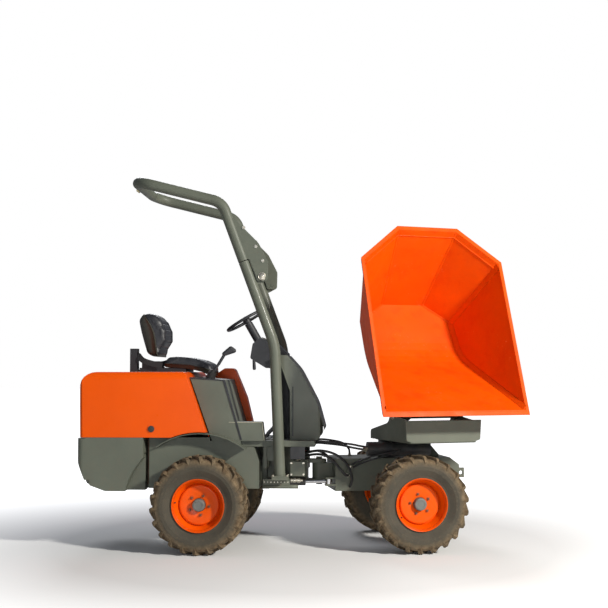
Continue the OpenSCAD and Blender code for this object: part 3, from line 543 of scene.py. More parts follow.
def swell(o, cap, voxel=0.005, pressure=4.0, frames=20):
    """Fills a pad by a short cloth run with inner pressure, each point's move held to the cap."""
    bpy.context.view_layer.objects.active = o
    grid = o.modifiers.new("voxels", "REMESH")
    grid.mode = "VOXEL"
    grid.voxel_size = voxel
    bpy.ops.object.modifier_apply(modifier=grid.name)
    ease = o.modifiers.new("ease", "SMOOTH")
    ease.iterations = 4
    bpy.ops.object.modifier_apply(modifier=ease.name)
    start = np.array([q.co[:] for q in o.data.vertices])
    cloth = o.modifiers.new("cloth", "CLOTH")
    cloth.settings.use_pressure = True
    cloth.settings.uniform_pressure_force = pressure
    cloth.settings.effector_weights.gravity = 0
    for k in range(1, frames + 1):
        bpy.context.scene.frame_set(k)
    bpy.ops.object.modifier_apply(modifier=cloth.name)
    bpy.context.scene.frame_set(1)
    now = np.array([q.co[:] for q in o.data.vertices])
    move = now - start
    far = np.linalg.norm(move, axis=1, keepdims=True)
    now = start + move * np.minimum(1.0, cap / np.maximum(far, 1e-9))
    o.data.vertices.foreach_set("co", now.ravel())
    finer = o.modifiers.new("finer", "SUBSURF")
    finer.levels = 1
    bpy.ops.object.modifier_apply(modifier=finer.name)
    for q in o.data.polygons:
        q.use_smooth = True


def stitch(o, lines, face):
    """Presses sewn channels into a pad: lines is (function of a point, depth, width)."""
    me = o.data
    me.update()
    for q, normal in zip(me.vertices, [n.vector.copy() for n in me.vertex_normals]):
        at = np.array(q.co) - PIVOT
        if normal @ Vector(face) < 0.15:
            continue
        deep = sum(d * math.exp(-(g(at) / w) ** 2) for g, d, w in lines)
        q.co -= normal * deep


# Side lines of the seat, as X and Z from the steering pivot
BACK_SEAM = [(-1.322, 1.532), (-1.334, 1.590), (-1.345, 1.660), (-1.360, 1.735), (-1.392, 1.805),
             (-1.446, 1.885)]
BACK_FACE = [(-1.320, 1.545), (-1.314, 1.598), (-1.268, 1.664), (-1.268, 1.745), (-1.305, 1.828),
             (-1.380, 1.905)]
BACK_REAR = [(-1.405, 1.528), (-1.428, 1.590), (-1.450, 1.660), (-1.472, 1.735), (-1.488, 1.810),
             (-1.494, 1.872)]
v, f = pad(0.424, BACK_SEAM, BACK_FACE, taper=0.10, bolster=0.10)
back_pad = piece("seat_back_cover", v, f, VINYL, None)
swell(back_pad, 0.010)
channels = [(lambda at, h=h: max(abs(at[2] - h), (abs(at[1]) - 0.132) * 2), 0.006, 0.006)
            for h in (1.610, 1.660, 1.710, 1.760, 1.810)]
channels.append((lambda at: abs(at[1]) - 0.138, 0.005, 0.005))
stitch(back_pad, channels, (1, 0, 0.1))
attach(back_pad, "seat_back")
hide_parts("seat_back")
v, f = pad(0.436, BACK_SEAM, BACK_REAR, taper=0.10, edge=0.060)
piece("seat_back_shell", v, f, SHELL, "seat_back")
BASE_LINE = [(-1.268, 1.470), (-1.165, 1.470), (-1.055, 1.464), (-0.950, 1.442), (-0.868, 1.408)]
TOP_LINE = [(-1.262, 1.518), (-1.165, 1.526), (-1.055, 1.518), (-0.950, 1.495), (-0.856, 1.452)]
v, f = pad(0.440, BASE_LINE, TOP_LINE, bolster=0.12)
cushion = piece("seat_cushion_cover", v, f, VINYL, None)
swell(cushion, 0.009)
QUILT_MID, QUILT_FRONT, QUILT_HALF, QUILT_STEP = -1.07, -0.93, 0.138, 0.07


def quilt(at, k, lean):
    """Distance from the cushion's slanting channel k, which ends at the side and front seams."""
    across = abs(at[0] - QUILT_MID + lean * at[1] - QUILT_STEP * k) * 0.7
    return max(across, (abs(at[1]) - QUILT_HALF) * 2, (at[0] - QUILT_FRONT) * 2)


channels = [(lambda at, k=k, lean=lean: quilt(at, k, lean), 0.004, 0.005)
            for k in range(-5, 9) for lean in (1, -1)]
channels.append((lambda at: abs(at[1]) - 0.144, 0.005, 0.005))
channels.append((lambda at: max(abs(at[0] + 0.922), (abs(at[1]) - 0.144) * 2), 0.005, 0.005))
stitch(cushion, channels, (0.2, 0, 1))
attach(cushion, "hood")
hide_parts("seat_cushion")
PAN_LINE = [(x, z - 0.026 - 0.004 * k) for k, (x, z) in enumerate(BASE_LINE)]
v, f = pad(0.456, [(x, z + 0.006) for x, z in BASE_LINE], PAN_LINE, edge=0.022)
piece("seat_pan", v, f, SHELL, "hood")
# Piping round the cushion, over the pan's lip
loop = []
for a in np.arange(64) * (math.pi / 32):
    cx, cy = math.cos(a), math.sin(a)
    g = (abs(cx) ** 6 + abs(cy) ** 6) ** (-1 / 6)
    u = 0.5 + 0.5 * cx * g
    x = np.interp(u, np.linspace(0, 1, 5), [q[0] for q in BASE_LINE])
    z = np.interp(u, np.linspace(0, 1, 5), [q[1] for q in BASE_LINE])
    loop.append(rear(x + 0.004 * cx, 0.224 * cy * g, z + 0.004))
loop.append(loop[0])
v, f = tube_mesh(loop, 0.0042, 8)
piece("cushion_piping", v, f, PLASTIC, "hood")
# Seat belt: from its reel to the anchor on the right, and the buckle's strap on the left
BELTS = {
    "right": [(-1.500, -0.130, 1.560), (-1.480, -0.200, 1.545), (-1.430, -0.232, 1.500),
              (-1.330, -0.236, 1.470), (-1.275, -0.236, 1.462)],
    "left": [(-1.470, 0.150, 1.452), (-1.430, 0.215, 1.470), (-1.350, 0.236, 1.480),
             (-1.290, 0.238, 1.500)]}
BELT_HALF, BELT_THICK = 0.023, 0.0012
for hand, points in BELTS.items():
    line = smooth_path([rear(*q) for q in points], 8)
    verts, faces = [], []
    for i, q in enumerate(line):
        d = line[min(i + 1, len(line) - 1)] - line[max(i - 1, 0)]
        d /= np.linalg.norm(d)
        side = np.cross(d, (0.0, 1.0, 0.0)) if abs(d[1]) < 0.7 else np.array([0.0, 0.0, 1.0])
        side /= np.linalg.norm(side)
        thick = np.cross(d, side)
        for w, t in ((-1, -1), (1, -1), (1, 1), (-1, 1)):
            verts.append(q + side * BELT_HALF * w + thick * BELT_THICK * t)
        if i:
            m = 4 * (i - 1)
            faces += [(m + k, m + (k + 1) % 4, m + 4 + (k + 1) % 4, m + 4 + k) for k in range(4)]
    faces += [(3, 2, 1, 0), tuple(range(len(verts) - 4, len(verts)))]
    piece("belt_" + hand, verts, faces, WEBBING, "hood", False)

# Wheels: the middle and outward axis of each

WHEELS = {}
for sg, hand in reversed(SIDES):
    WHEELS["front_" + hand] = front(FRONT_AXLE_X, sg * HALF_TRACK, AXLE_Z), turn((0, sg, 0), STEER)
for sg, hand in reversed(SIDES):
    WHEELS["rear_" + hand] = rear(REAR_AXLE_X, sg * HALF_TRACK, AXLE_Z), np.array([0.0, sg, 0.0])


def rubber(name, centre, axis):
    """Tyre rubber: dark sidewall, dried mud on the lugs, by the distance from the wheel's axis."""
    m, n, links, s = tree(name)
    c = n.new("ShaderNodeTexCoord").outputs["Object"]
    away = vector(n, links, "SUBTRACT", c, centre)[0]
    spun = vector(n, links, "CROSS_PRODUCT", away, axis)[0]
    # Mud covers the tread, 0.295 to 0.335 m from the axis, and fine rings stand on the sidewall
    r = vector(n, links, "LENGTH", spun)["Value"]
    base = mix(n, links, ramp(n, links, noise(n, links, c, 7.0, 5.0), 0.35, 0.65),
               (0.058, 0.052, 0.040), (0.078, 0.068, 0.050))
    mud = mix(n, links, ramp(n, links, noise(n, links, c, 26.0, 6.0, 0.7), 0.38, 0.66),
              (0.085, 0.056, 0.030), (0.205, 0.150, 0.088))
    cover = times(n, links, ramp(n, links, r, 0.295, 0.335), ramp(n, links,
                  noise(n, links, c, 11.0, 8.0, 0.65), 0.30, 0.56, 0.25, 1.0))
    body = mix(n, links, cover, base, mud)
    splash = times(n, links, ramp(n, links, r, 0.24, 0.31, 0.15, 0.6),
                   ramp(n, links, noise(n, links, c, 48.0, 8.0, 0.7), 0.52, 0.72))
    body = mix(n, links, splash, body, (0.155, 0.118, 0.072))
    links.new(body, s.inputs["Base Color"])
    s.inputs["Roughness"].default_value = 0.86
    s.inputs["Specular IOR Level"].default_value = 0.25
    rings = n.new("ShaderNodeMath")
    rings.operation = "SINE"
    links.new(times(n, links, r, 900.0), rings.inputs[0])
    band = times(n, links, rings.outputs[0], ramp(n, links, r, 0.300, 0.292))
    total = n.new("ShaderNodeMath")
    total.operation = "ADD"
    links.new(times(n, links, band, 0.10), total.inputs[0])
    links.new(noise(n, links, c, 130.0, 6.0, 0.7), total.inputs[1])
    bump(n, links, s, total.outputs[0], 0.8, 0.004, 0.004)
    return m


RIM_PROFILE = [
    (0.1110, 0.2060), (0.1128, 0.2035), (0.1105, 0.1990), (0.1030, 0.1965), (0.0900, 0.1935),
    (0.0650, 0.1850), (0.0480, 0.1765), (0.0330, 0.1695), (0.0225, 0.1655), (0.0165, 0.1625),
    (0.0155, 0.1595), (0.0185, 0.1565), (0.0300, 0.1545), (0.0355, 0.1525), (0.0378, 0.1480),
    (0.0380, 0.1400), (0.0380, 0.0560), (0.0365, 0.0525), (0.0320, 0.0510), (0.0300, 0.0510),
    (0.0300, 0.1400), (0.0270, 0.1480), (0.0100, 0.1520), (0.0060, 0.1600), (0.0080, 0.1660),
    (-0.0300, 0.1700), (-0.0700, 0.1820), (-0.0980, 0.1900), (-0.1080, 0.1950), (-0.1128, 0.2035),
    (-0.1110, 0.2060), (-0.1050, 0.2055), (-0.1020, 0.1925), (-0.0960, 0.1916), (0.0960, 0.1916),
    (0.1020, 0.1925), (0.1050, 0.2055)]


def ring(profile, origin, axis, sides=96):
    """Closed turned form around an axis: profile is a loop of (distance, radius) pairs."""
    v, f = lathe(profile, origin, axis, sides)
    f = f[:-2]
    last = (len(profile) - 1) * sides
    for k in range(sides):
        r = (k + 1) % sides
        f.append((last + k, last + r, r, k))
    return v, f


def around(centre, axis, radius, angle, height):
    """A point at a radius and angle about a wheel's axis, measured from straight up."""
    axis = np.array(axis, float)
    up = np.array([0.0, 0.0, 1.0])
    out = np.cross(axis, up)
    return (np.array(centre) + axis * height
            + radius * (up * math.cos(angle) + out * math.sin(angle)))


for name, (centre, axis) in WHEELS.items():
    body = "wheel_" + name
    NODES["tyre_" + name].data.materials.clear()
    NODES["tyre_" + name].data.materials.append(rubber("rubber_" + name, centre, axis))
    v, f = ring(RIM_PROFILE, centre, axis)
    rim = piece("rim_face_" + name, v, f, ORANGE, body)
    soften(rim, 40)
    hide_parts("rim_" + name)
    hub = [lathe([(-0.050, 0.0620), (0.0290, 0.0620), (0.0300, 0.0600), (0.0305, 0.0495),
                  (0.0700, 0.0480), (0.0740, 0.0455), (0.0755, 0.0400), (0.0755, 0.0300),
                  (0.0735, 0.0285), (0.0735, 0.0010)], centre, axis, 48)]
    for k in range(3):
        a = math.radians(40 + 120 * k)
        hub.append(bolt(around(centre, axis, 0.036, a, 0.0752), axis, 0.0042, False))
    v, f = join(hub)
    soften(piece("hub_" + name, v, f, HUB, body))
    nuts, holes = [], []
    phase = {"front_left": 10, "front_right": 12, "rear_left": 30, "rear_right": -26}[name]
    for k in range(5):
        a = math.radians(phase + 72 * k)
        at = around(centre, axis, 0.0785, a, 0.0380)
        holes.append(lathe([(-0.004, 0.0155), (0.0004, 0.0160), (0.0008, 0.0148),
                            (-0.0020, 0.0125), (-0.004, 0.0122)], at, axis, 24))
        nuts.append(lathe([(-0.003, 0.0098), (0.0085, 0.0098), (0.0105, 0.0085)], at, axis, 6))
        nuts.append(lathe([(0.009, 0.0048), (0.0165, 0.0048), (0.0175, 0.0040)], at, axis, 12))
    v, f = join(holes)
    soften(piece("nut_seats_" + name, v, f, RUST, body), 40)
    v, f = join(nuts)
    soften(piece("wheel_nuts_" + name, v, f, RUST, body), 40)
    at = around(centre, axis, 0.183, math.radians(phase + 110), 0.062)
    v, f = lathe([(0, 0.0055), (0.012, 0.0052), (0.014, 0.0038), (0.030, 0.0036), (0.032, 0.0028)],
                 at, axis, 12)
    soften(piece("valve_" + name, v, f, HOSE, body), 40)


# Frame details

def prism(name, outline, y0, y1, material, body, place=rear, width=0.002):
    """Flat plate from an outline in X and Z, between two depths, with eased edges."""
    m = len(outline)
    verts = [place(x, y, z) for y in (y0, y1) for x, z in outline]
    faces = [tuple(range(m)), tuple(range(2 * m - 1, m - 1, -1))]
    faces += [(k, (k + 1) % m, m + (k + 1) % m, m + k) for k in range(m)]
    o = piece(name, verts, faces, material, body, False)
    if width:
        bevel(o, width)


def box(name, low, high, material, body, place=rear, width=0.002):
    """Block between two corners, with eased edges."""
    (x0, y0, z0), (x1, y1, z1) = low, high
    prism(name, [(x0, z0), (x1, z0), (x1, z1), (x0, z1)], y0, y1, material, body, place, width)


def bolts(name, points, axis, size, body, material=ZINC, washer=True):
    """Bolt heads at the points, as one piece."""
    v, f = join([bolt(q, axis, size, washer) for q in points])
    soften(piece(name, v, f, material, body), 30)


def turned(name, profile, origin, axis, material, body, sides=32):
    """A turned form as a piece."""
    v, f = lathe(profile, origin, axis, sides)
    soften(piece(name, v, f, material, body))


def hose(name, points, r, a="rear", b="front"):
    """A hose through the points, riding on one body, or fixed in place on neither when it runs between two.
    """
    verts, faces = tube_mesh(smooth_path(points), r)
    o = piece(name, verts, faces, HOSE, None)
    if a == b:
        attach(o, a)
    else:
        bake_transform(o)


for sg, hand in SIDES:
    y = sg * 0.400
    prism("post_plate_" + hand, [(-0.400, 0.8145), (-0.290, 0.8145), (-0.298, 0.702),
          (-0.396, 0.702)], y - sg * 0.012, y - sg * 0.004, GREY, "rear")
    prism("valve_plate_" + hand, [(-0.214, 0.8145), (-0.096, 0.8145), (-0.096, 0.715),
          (-0.214, 0.715)], y - sg * 0.020, y - sg * 0.012, DARK, "rear")
    box("valve_cover_" + hand, (-0.216, min(y, y - sg * 0.030), 0.582),
        (-0.096, max(y, y - sg * 0.030), 0.700), GREY, "rear", width=0.006)
    bolts("cover_bolts_" + hand, [rear(-0.204, y, 0.597), rear(-0.204, y, 0.686),
          rear(-0.108, y, 0.597), rear(-0.108, y, 0.686)], (0, sg, 0), 0.006, "rear")
    line = [rear(x, sg * 0.396, 0.500) for x in (-0.430, -0.330, -0.217, -0.150)]
    v, f = tube_mesh(line, 0.015, 16)
    piece("under_rail_" + hand, v, f, GREY, "rear")
    turned("couplings_" + hand, [(0, 0.010), (0.004, 0.017), (0.018, 0.017), (0.019, 0.013),
           (0.024, 0.013), (0.026, 0.020), (0.046, 0.020), (0.048, 0.013), (0.054, 0.013),
           (0.056, 0.018), (0.078, 0.018), (0.080, 0.010), (0.098, 0.010), (0.100, 0.007)],
           rear(-0.214, sg * 0.372, 0.548), (1, 0, 0), ZINC, "rear", 24)
    bolts("rail_studs_" + hand, [rear(-0.42 + 0.027 * k, sg * 0.4005, 0.536)
          for k in range(8)], (0, sg, 0), 0.005, "rear", ZINC, False)
    # Foot plate of the roll bar: bolts and a weld bead round the tube
    foot_x, foot_y = -0.291, sg * 0.450
    bolts("foot_bolts_" + hand, [rear(x, foot_y + d, 0.592) for x in (-0.343, -0.232)
          for d in (-0.045, 0.045)], (0, 0, 1), 0.009, "rear")
    loop = [rear(foot_x + 0.046 * math.cos(a), foot_y + 0.046 * math.sin(a), 0.593)
            for a in np.arange(49) * (math.pi / 24)]
    v, f = tube_mesh(loop, 0.0045, 8)
    piece("foot_weld_" + hand, v, f, GREY, "rear")
    # Folding bracket: pin head with its clip, and bolts through the cheeks
    cheek_y = foot_y + sg * 0.0312
    turned("fold_pin_head_" + hand, [(0, 0.026), (0.003, 0.027), (0.007, 0.027), (0.009, 0.022),
           (0.010, 0.012), (0.018, 0.011), (0.020, 0.008)], rear(FOLD_X, cheek_y, FOLD_Z), (0, sg, 0), ZINC,
           "hoop")
    clip = [rear(FOLD_X + 0.030 * math.cos(a), cheek_y + sg * 0.006, FOLD_Z + 0.030 * math.sin(a))
            for a in np.linspace(0.4, 5.6, 26)]
    v, f = tube_mesh(clip, 0.0022, 8)
    piece("fold_clip_" + hand, v, f, ZINC, "hoop")
    bolts("cheek_bolts_" + hand, [rear(FOLD_X + dx, cheek_y, FOLD_Z + dz) for dx, dz in
          ((0.004, 0.125), (-0.052, 0.240), (-0.150, 0.392))], (0, sg, 0), 0.010, "hoop")
    bolts("cowl_bolts_" + hand, [rear(-0.205, sg * 0.2602, z) for z in (0.90, 1.02, 1.14)],
          (0, sg, 0), 0.005, "rear", DARK)

# Hoses over the pivot, in each body's frame: the radius and the points it runs through
THIN, THICK = 0.0085, 0.0100
PIVOT_HOSES = {
    "a": (THIN, [(-0.17, -0.10, 0.790), (-0.10, -0.15, 0.835), (-0.02, -0.19, 0.846),
                 (0.08, -0.20, 0.842), (0.18, -0.19, 0.832), (0.27, -0.18, 0.822),
                 (0.34, -0.174, 0.808), (0.400, -0.170, 0.798)]),
    "b": (THIN, [(-0.17, -0.07, 0.775), (-0.09, -0.11, 0.815), (-0.01, -0.15, 0.830),
                 (0.09, -0.165, 0.824), (0.19, -0.155, 0.812), (0.28, -0.145, 0.792),
                 (0.35, -0.142, 0.780), (0.400, -0.145, 0.775)]),
    "c": (THICK, [(-0.16, -0.18, 0.720), (-0.07, -0.26, 0.765), (0.04, -0.31, 0.778),
                  (0.15, -0.30, 0.745), (0.235, -0.245, 0.665), (0.272, -0.190, 0.560),
                  (0.262, -0.160, 0.490), (0.235, -0.110, 0.466), (0.200, -0.050, 0.474)]),
    "d": (THICK, [(-0.16, -0.15, 0.700), (-0.08, -0.22, 0.735), (0.03, -0.275, 0.745),
                  (0.12, -0.275, 0.700), (0.185, -0.245, 0.620), (0.225, -0.210, 0.575),
                  (0.243, -0.186, 0.570)]),
    "e": (THIN, [(-0.17, 0.10, 0.790), (-0.10, 0.13, 0.830), (0, 0.15, 0.842), (0.10, 0.17, 0.832),
                 (0.19, 0.182, 0.810), (0.240, 0.180, 0.765), (0.249, 0.176, 0.728)]),
    "f": (THICK, [(-0.16, 0.16, 0.700), (-0.10, 0.21, 0.725), (-0.02, 0.26, 0.735),
                  (0.05, 0.285, 0.700), (0.088, 0.282, 0.650), (0.100, 0.257, 0.620)])}
FRONT_HOSES = {
    "g": [(0.20, -0.215, 0.640), (0.30, -0.235, 0.690), (0.40, -0.275, 0.728), (0.52, -0.320, 0.755),
          (0.590, -0.325, 0.772), (0.620, -0.293, 0.778)],
    "h": [(0.20, -0.215, 0.610), (0.31, -0.228, 0.668), (0.42, -0.255, 0.705), (0.51, -0.305, 0.735),
          (0.560, -0.312, 0.752), (0.585, -0.290, 0.760)]}
for letter, (r, points) in PIVOT_HOSES.items():
    hose("hose_" + letter, [rear(*q) for q in points], r)
for letter, points in FRONT_HOSES.items():
    hose("hose_" + letter, [front(*q) for q in points], 0.0070, "front", "front")
# Fittings on the front body, and ferrules where the hoses leave the manifold
FITTINGS = [((0.20, -0.2, 0.570), (0, -1, 0)), ((0.15, 0.2, 0.620), (0, 1, 0)),
            ((0.28, 0.12, 0.7055), (0, 0, 1)), ((0.354, -0.242, 0.795), (-1, 0, 0)),
            ((0.354, -0.222, 0.772), (-1, 0, 0))]
for k, (at, d) in enumerate(FITTINGS):
    turned("bulkhead_%d" % k, [(0, 0.017), (0.007, 0.017), (0.008, 0.012), (0.022, 0.012),
           (0.024, 0.009), (0.034, 0.009)], front(*at), at_front(d), ZINC, "front", 6)
FERRULE_WAYS = {"a": (1, -0.7, 0.6), "b": (1, -0.5, 0.5), "c": (0.8, -0.8, 0.4), "d": (0.8, -0.8, 0.4),
                "e": (1, 0.4, 0.6), "f": (0.8, 0.5, 0.4)}
for letter, d in FERRULE_WAYS.items():
    size, points = PIVOT_HOSES[letter]
    r = size + 0.0025
    turned("ferrule_" + letter, [(-0.022, r * 1.15), (-0.010, r * 1.15), (-0.009, r * 0.9), (0, r * 0.9),
           (0.001, r * 1.05), (0.030, r * 1.05), (0.033, r * 0.8)], rear(*points[0]), d, ZINC, "rear",
           16)
box("manifold", (-0.215, -0.200, 0.700), (-0.165, 0.180, 0.812), DARK, "rear")
box("hose_clamp", (0.190, -0.245, 0.590), (0.235, -0.201, 0.660), GREY, "front", front, 0.004)
box("clamp_stand", (0.330, -0.202, 0.650), (0.372, -0.1995, 0.7045), GREY, "front", front)
bolts("clamp_bolts", [front(0.212, -0.245, 0.643), front(0.212, -0.245, 0.607)], at_front((0, -1, 0)),
      0.006, "front")
bolts("pivot_cap_bolts", [rear(0.040 * math.cos(a), 0.040 * math.sin(a), 0.702)
      for a in np.linspace(0, 2 * math.pi, 7)[:6]], (0, 0, 1), 0.006, "rear")

# Ribs and bolts round the slewing ring
for k, a in ((0, -150), (3, -35), (4, 35), (7, 145)):
    c, t = math.cos(math.radians(a)), math.sin(math.radians(a))
    low, high = 0.2205, 0.300
    verts = []
    for off in (-0.004, 0.004):
        for r, z in ((low, 0.7055), (high, 0.7055), (high, 0.730), (low, 0.815)):
            verts.append(front(SWIVEL_X + r * c - off * t, r * t + off * c, z))
    o = piece("ring_rib_%d" % k, verts, [(0, 1, 2, 3), (7, 6, 5, 4), (0, 4, 5, 1), (1, 5, 6, 2),
              (2, 6, 7, 3), (3, 7, 4, 0)], GREY, "front", False)
    bevel(o, 0.0015)
bolts("ring_bolts", [swivel(0.228 * math.cos(a), 0.228 * math.sin(a), 0.875)
      for a in np.linspace(0, 2 * math.pi, 25)[:24]], (0, 0, 1), 0.007, "skip_turn")
prism("apron_lip", [(0.727, 1.024), (0.743, 1.024), (0.743, 1.031), (0.727, 1.031)], -0.318, 0.318, GREY,
      "skip_turn", swivel)
for k, y in enumerate((-0.268, 0.268)):
    prism("apron_gusset_%d" % k, [(0.724, 0.868), (0.640, 0.868), (0.724, 0.975)], y - 0.004,
          y + 0.004, GREY, "skip_turn", swivel)
for k, sg in enumerate((-1, 1)):
    turned("tip_pin_cap_%d" % k, [(0, 0.034), (0.004, 0.035), (0.008, 0.033), (0.009, 0.019),
           (0.012, 0.018)], swivel(HINGE[0], sg * 0.294, HINGE[1]), at_swivel((0, sg, 0)), ZINC,
           "skip_turn")

# Skip: strips and weld beads along its inner seams, from the sizes in part.scad

LIP_X, LIP_Z, RIM_HALF = 0.202, 0.512, 0.590
CORNER_X, BACK_X, BACK_HALF = 1.026, 1.297, 0.256
FLOOR_BACK, FLOOR_BEND, FLOOR_HALF, HEEL_HALF = 0.850, 0.510, 0.411, 0.190
BEND_R, BEND_STEPS = 0.450, 8
RISE = math.tan(math.radians(7.8))
SKIP_MID = np.array([-0.50, 0.0, 0.42])
MIRROR = np.array([1, -1, 1])
LIP = np.array([LIP_X, RIM_HALF, LIP_Z])
CORNER = np.array([-CORNER_X, RIM_HALF, LIP_Z + RISE * (LIP_X + CORNER_X)])
BACK = np.array([-BACK_X, BACK_HALF, LIP_Z + RISE * (LIP_X + BACK_X)])
FOOT = np.array([-FLOOR_BACK, FLOOR_HALF, 0.0])


def normal_of(a, b, c):
    """Unit normal of the plane through three points, into the skip."""
    n = np.cross(b - a, c - a)
    n /= np.linalg.norm(n)
    return n if n @ (SKIP_MID - a) > 0 else -n


SIDE_N, CORNER_N = normal_of(LIP, CORNER, FOOT), normal_of(BACK, CORNER, FOOT)
heel_x = FOOT[0] + (HEEL_HALF - FOOT[1]) * -CORNER_N[1] / CORNER_N[0]
HEEL = np.array([heel_x, HEEL_HALF, 0.0])
BACK_N = normal_of(BACK, HEEL, HEEL * MIRROR)
SLOPE = math.atan2(LIP_Z, LIP_X + FLOOR_BEND)
FLOOR_N = np.array([0.0, 0.0, 1.0])


def on_side(x, z):
    """The side plate's point over x and z."""
    return np.array([x, FOOT[1] - (SIDE_N[0] * (x - FOOT[0]) + SIDE_N[2] * z) / SIDE_N[1], z])


# Points and normals along the bend from the flat floor to the front slope
bend = []
for k in range(BEND_STEPS + 1):
    a = SLOPE * k / BEND_STEPS
    bend.append((on_side(-FLOOR_BEND - BEND_R * math.tan(SLOPE / 2) + BEND_R * math.sin(a),
                         BEND_R - BEND_R * math.cos(a)), np.array([-math.sin(a), 0, math.cos(a)])))


def seam(name, points, other, legs):
    """Three-sided strip in an inner corner: points are (place, normal of the first plate)."""
    for sg, hand in reversed(SIDES):
        verts, faces = [], []
        for i, (q, n1) in enumerate(points):
            d = points[min(i + 1, len(points) - 1)][0] - points[max(i - 1, 0)][0]
            d /= np.linalg.norm(d)
            for n, leg in ((n1, legs[0]), (other, legs[1])):
                t = np.cross(n, d)
                t /= np.linalg.norm(t)
                t = t if t @ (SKIP_MID - q) > 0 else -t
                verts.append(q + t * leg + n * 0.001)
            verts.append(q - (n1 + other) * 0.0005)
            if i:
                m = 3 * (i - 1)
                faces += [(m + k, m + (k + 1) % 3, m + 3 + (k + 1) % 3, m + 3 + k) for k in range(3)]
        faces += [(2, 1, 0), tuple(range(len(verts) - 3, len(verts)))]
        verts = [skip(v[0], v[1] * sg, v[2]) for v in verts]
        piece(name + "_" + hand, verts, faces, SKIP_PAINT, "skip", False)


# How far up a seam its strip goes
UP = 0.985
low, slope_n = bend[-1]
seam("skip_strip_floor", [(FOOT, FLOOR_N)] + bend + [(LIP * UP + low * (1 - UP), slope_n)], SIDE_N,
     (0.020, 0.034))
seam("skip_strip_corner", [(FOOT, CORNER_N), (FOOT + (CORNER - FOOT) * UP, CORNER_N)], SIDE_N,
     (0.014, 0.040))
seam("skip_weld_heel", [(FOOT, FLOOR_N), (HEEL, FLOOR_N)], CORNER_N, (0.009, 0.009))
seam("skip_weld_back", [(HEEL, CORNER_N), (HEEL + (BACK - HEEL) * UP, CORNER_N)], BACK_N,
     (0.009, 0.009))
# Weld below the folded edge, round the rear from side to side
EDGE_DROP, PROUD, HEM_STEPS = 0.055, 0.002, 8
hem = [top + (foot - top) / np.linalg.norm(foot - top) * EDGE_DROP
       for top, foot in ((CORNER, FOOT), (BACK, HEEL))]
hem += [hem[1] * MIRROR, hem[0] * MIRROR]
inward = [(SIDE_N + CORNER_N) / 2, (CORNER_N + BACK_N) / 2]
inward += [inward[1] * MIRROR, inward[0] * MIRROR]
line = []
for i in range(3):
    for t in np.arange(HEM_STEPS) / HEM_STEPS:
        line.append(skip(*(hem[i] * (1 - t) + hem[i + 1] * t
                           + (inward[i] * (1 - t) + inward[i + 1] * t) * PROUD)))
line.append(skip(*(hem[3] + inward[3] * PROUD)))
v, f = tube_mesh(line, 0.0045, 8)
piece("skip_rim_weld", v, f, SKIP_PAINT, "skip")

# Cowl, dash and wheel
DASH_UP = (0.336, 0, 0.942)
for sg, hand in SIDES:
    y = sg * 0.260
    prism("cowl_flange_" + hand, [(-0.226, 0.866), (-0.214, 0.866), (-0.214, 1.252), (-0.322, 1.544),
          (-0.330, 1.544), (-0.226, 1.250)], y, y + sg * 0.003, GREY, "rear")
    prism("cowl_slot_" + hand, [(-0.206, 0.890), (-0.198, 0.890), (-0.198, 1.290), (-0.206, 1.290)], y,
          y + sg * 0.0015, PLASTIC, "rear", width=0)
line = [rear(*q) for q in ((-0.520, -0.150, 1.600), (-0.545, -0.156, 1.570), (-0.548, -0.160, 1.530),
                           (-0.530, -0.160, 1.505))]
v, f = tube_mesh(smooth_path(line, 8), 0.006, 10)
piece("choke_stalk", v, f, PLASTIC, "rear")
turned("choke_grip", [(0, 0.008), (0.004, 0.012), (0.070, 0.014), (0.080, 0.012), (0.084, 0.006)],
       rear(-0.530, -0.160, 1.508), (0.06, 0, -1), PLASTIC, "rear")
for k, y in enumerate((-0.100, 0.100)):
    turned("gauge_%d" % k, [(0, 0.034), (0.004, 0.036), (0.007, 0.036), (0.008, 0.031), (0.0085, 0.030)],
           rear(-0.440, y, 1.6765), DASH_UP, PLASTIC if k else STEEL, "rear")
for k in range(4):
    turned("tell_tale_%d" % k, [(0, 0.007), (0.003, 0.007), (0.005, 0.004)],
           rear(-0.400, -0.045 + 0.030 * k, 1.6625), DASH_UP, RED if k % 2 else LAMP, "rear",
           16)
turned("key_switch", [(0, 0.016), (0.006, 0.016), (0.008, 0.012), (0.012, 0.012), (0.013, 0.004),
       (0.030, 0.004)], rear(-0.350, -0.110, 1.646), DASH_UP, STEEL, "rear", 24)
LEAN_C, LEAN_S = math.cos(math.radians(30)), math.sin(math.radians(30))
HORN_UP = 0.014
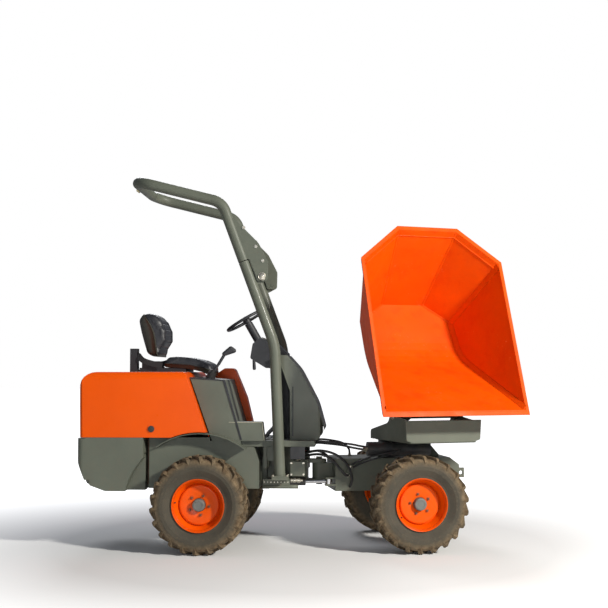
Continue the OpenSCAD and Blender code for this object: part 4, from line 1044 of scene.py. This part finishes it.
turned("horn_cap", [(-0.002, 0.031), (0.004, 0.038), (0.012, 0.033), (0.016, 0.020), (0.017, 0.004)],
       rear(WHEEL_X - HORN_UP * LEAN_S, 0, WHEEL_Z + HORN_UP * LEAN_C), (-LEAN_S, 0, LEAN_C), PLASTIC,
       "steering_wheel")

# Seat box, lever and floor
prism("box_top_trim", [(-1.014, 1.367), (-0.742, 1.346), (-0.732, 1.346), (-0.726, 1.328), (-0.592, 0.870),
      (-0.606, 0.870), (-0.748, 1.336), (-1.014, 1.356)], -0.445, -0.440, PLASTIC, "rear",
      width=0.0015)
# Pale strip along the lower box's top and front edges
prism("low_box_edge", [(-0.700, 1.0125), (-0.432, 1.0125), (-0.414, 0.866), (-0.420, 0.866),
      (-0.438, 1.005), (-0.700, 1.005)], -0.4405, -0.4440, PALE_EDGE, "rear", width=0.001)
rings = []
for k in range(7):
    h, r = 0.0105 * k, 0.040 - 0.0030 * k
    rings += [(h, r), (h + 0.004, r + 0.003), (h + 0.008, r - 0.003)]
turned("lever_bellows", rings, rear(-0.856, -0.395, 1.3578), (0.35, 0, 1), HOSE, "rear")
for k in range(9):
    x = -0.575 + 0.040 * k
    box("mat_rib_%d" % k, (x, -0.30, 0.8622), (x + 0.018, 0.34, 0.8655), HOSE, "rear",
        width=0.001)
# Ribs across the upper half of each pedal
for k, y in enumerate((-0.170, 0.120)):
    for m in range(5):
        t = 0.50 + 0.10 * m
        x, z = -0.471 + 0.108 * t, 0.863 + 0.110 * t
        box("pedal_rib_%d_%d" % (k, m), (x - 0.004, y - 0.030, z - 0.003),
            (x + 0.003, y + 0.030, z + 0.004), HOSE, "rear", width=0)

# Hood: louvres in its rear face and a latch on each side
for k in range(7):
    z = 1.010 + 0.036 * k
    prism("rear_louvre_%d" % k, [(-1.874, z), (-1.884, z - 0.006), (-1.884, z + 0.004),
          (-1.874, z + 0.014)], -0.230, 0.230, PLASTIC, "hood", width=0)
for sg, name in ((-1, "hood_latch"), (1, "hood_latch_left")):
    turned(name, [(0, 0.024), (0.003, 0.026), (0.006, 0.024), (0.007, 0.012), (0.010, 0.011)],
           rear(-1.30, sg * 0.5502, 0.960), (0, sg, 0), DARK, "hood", 24)
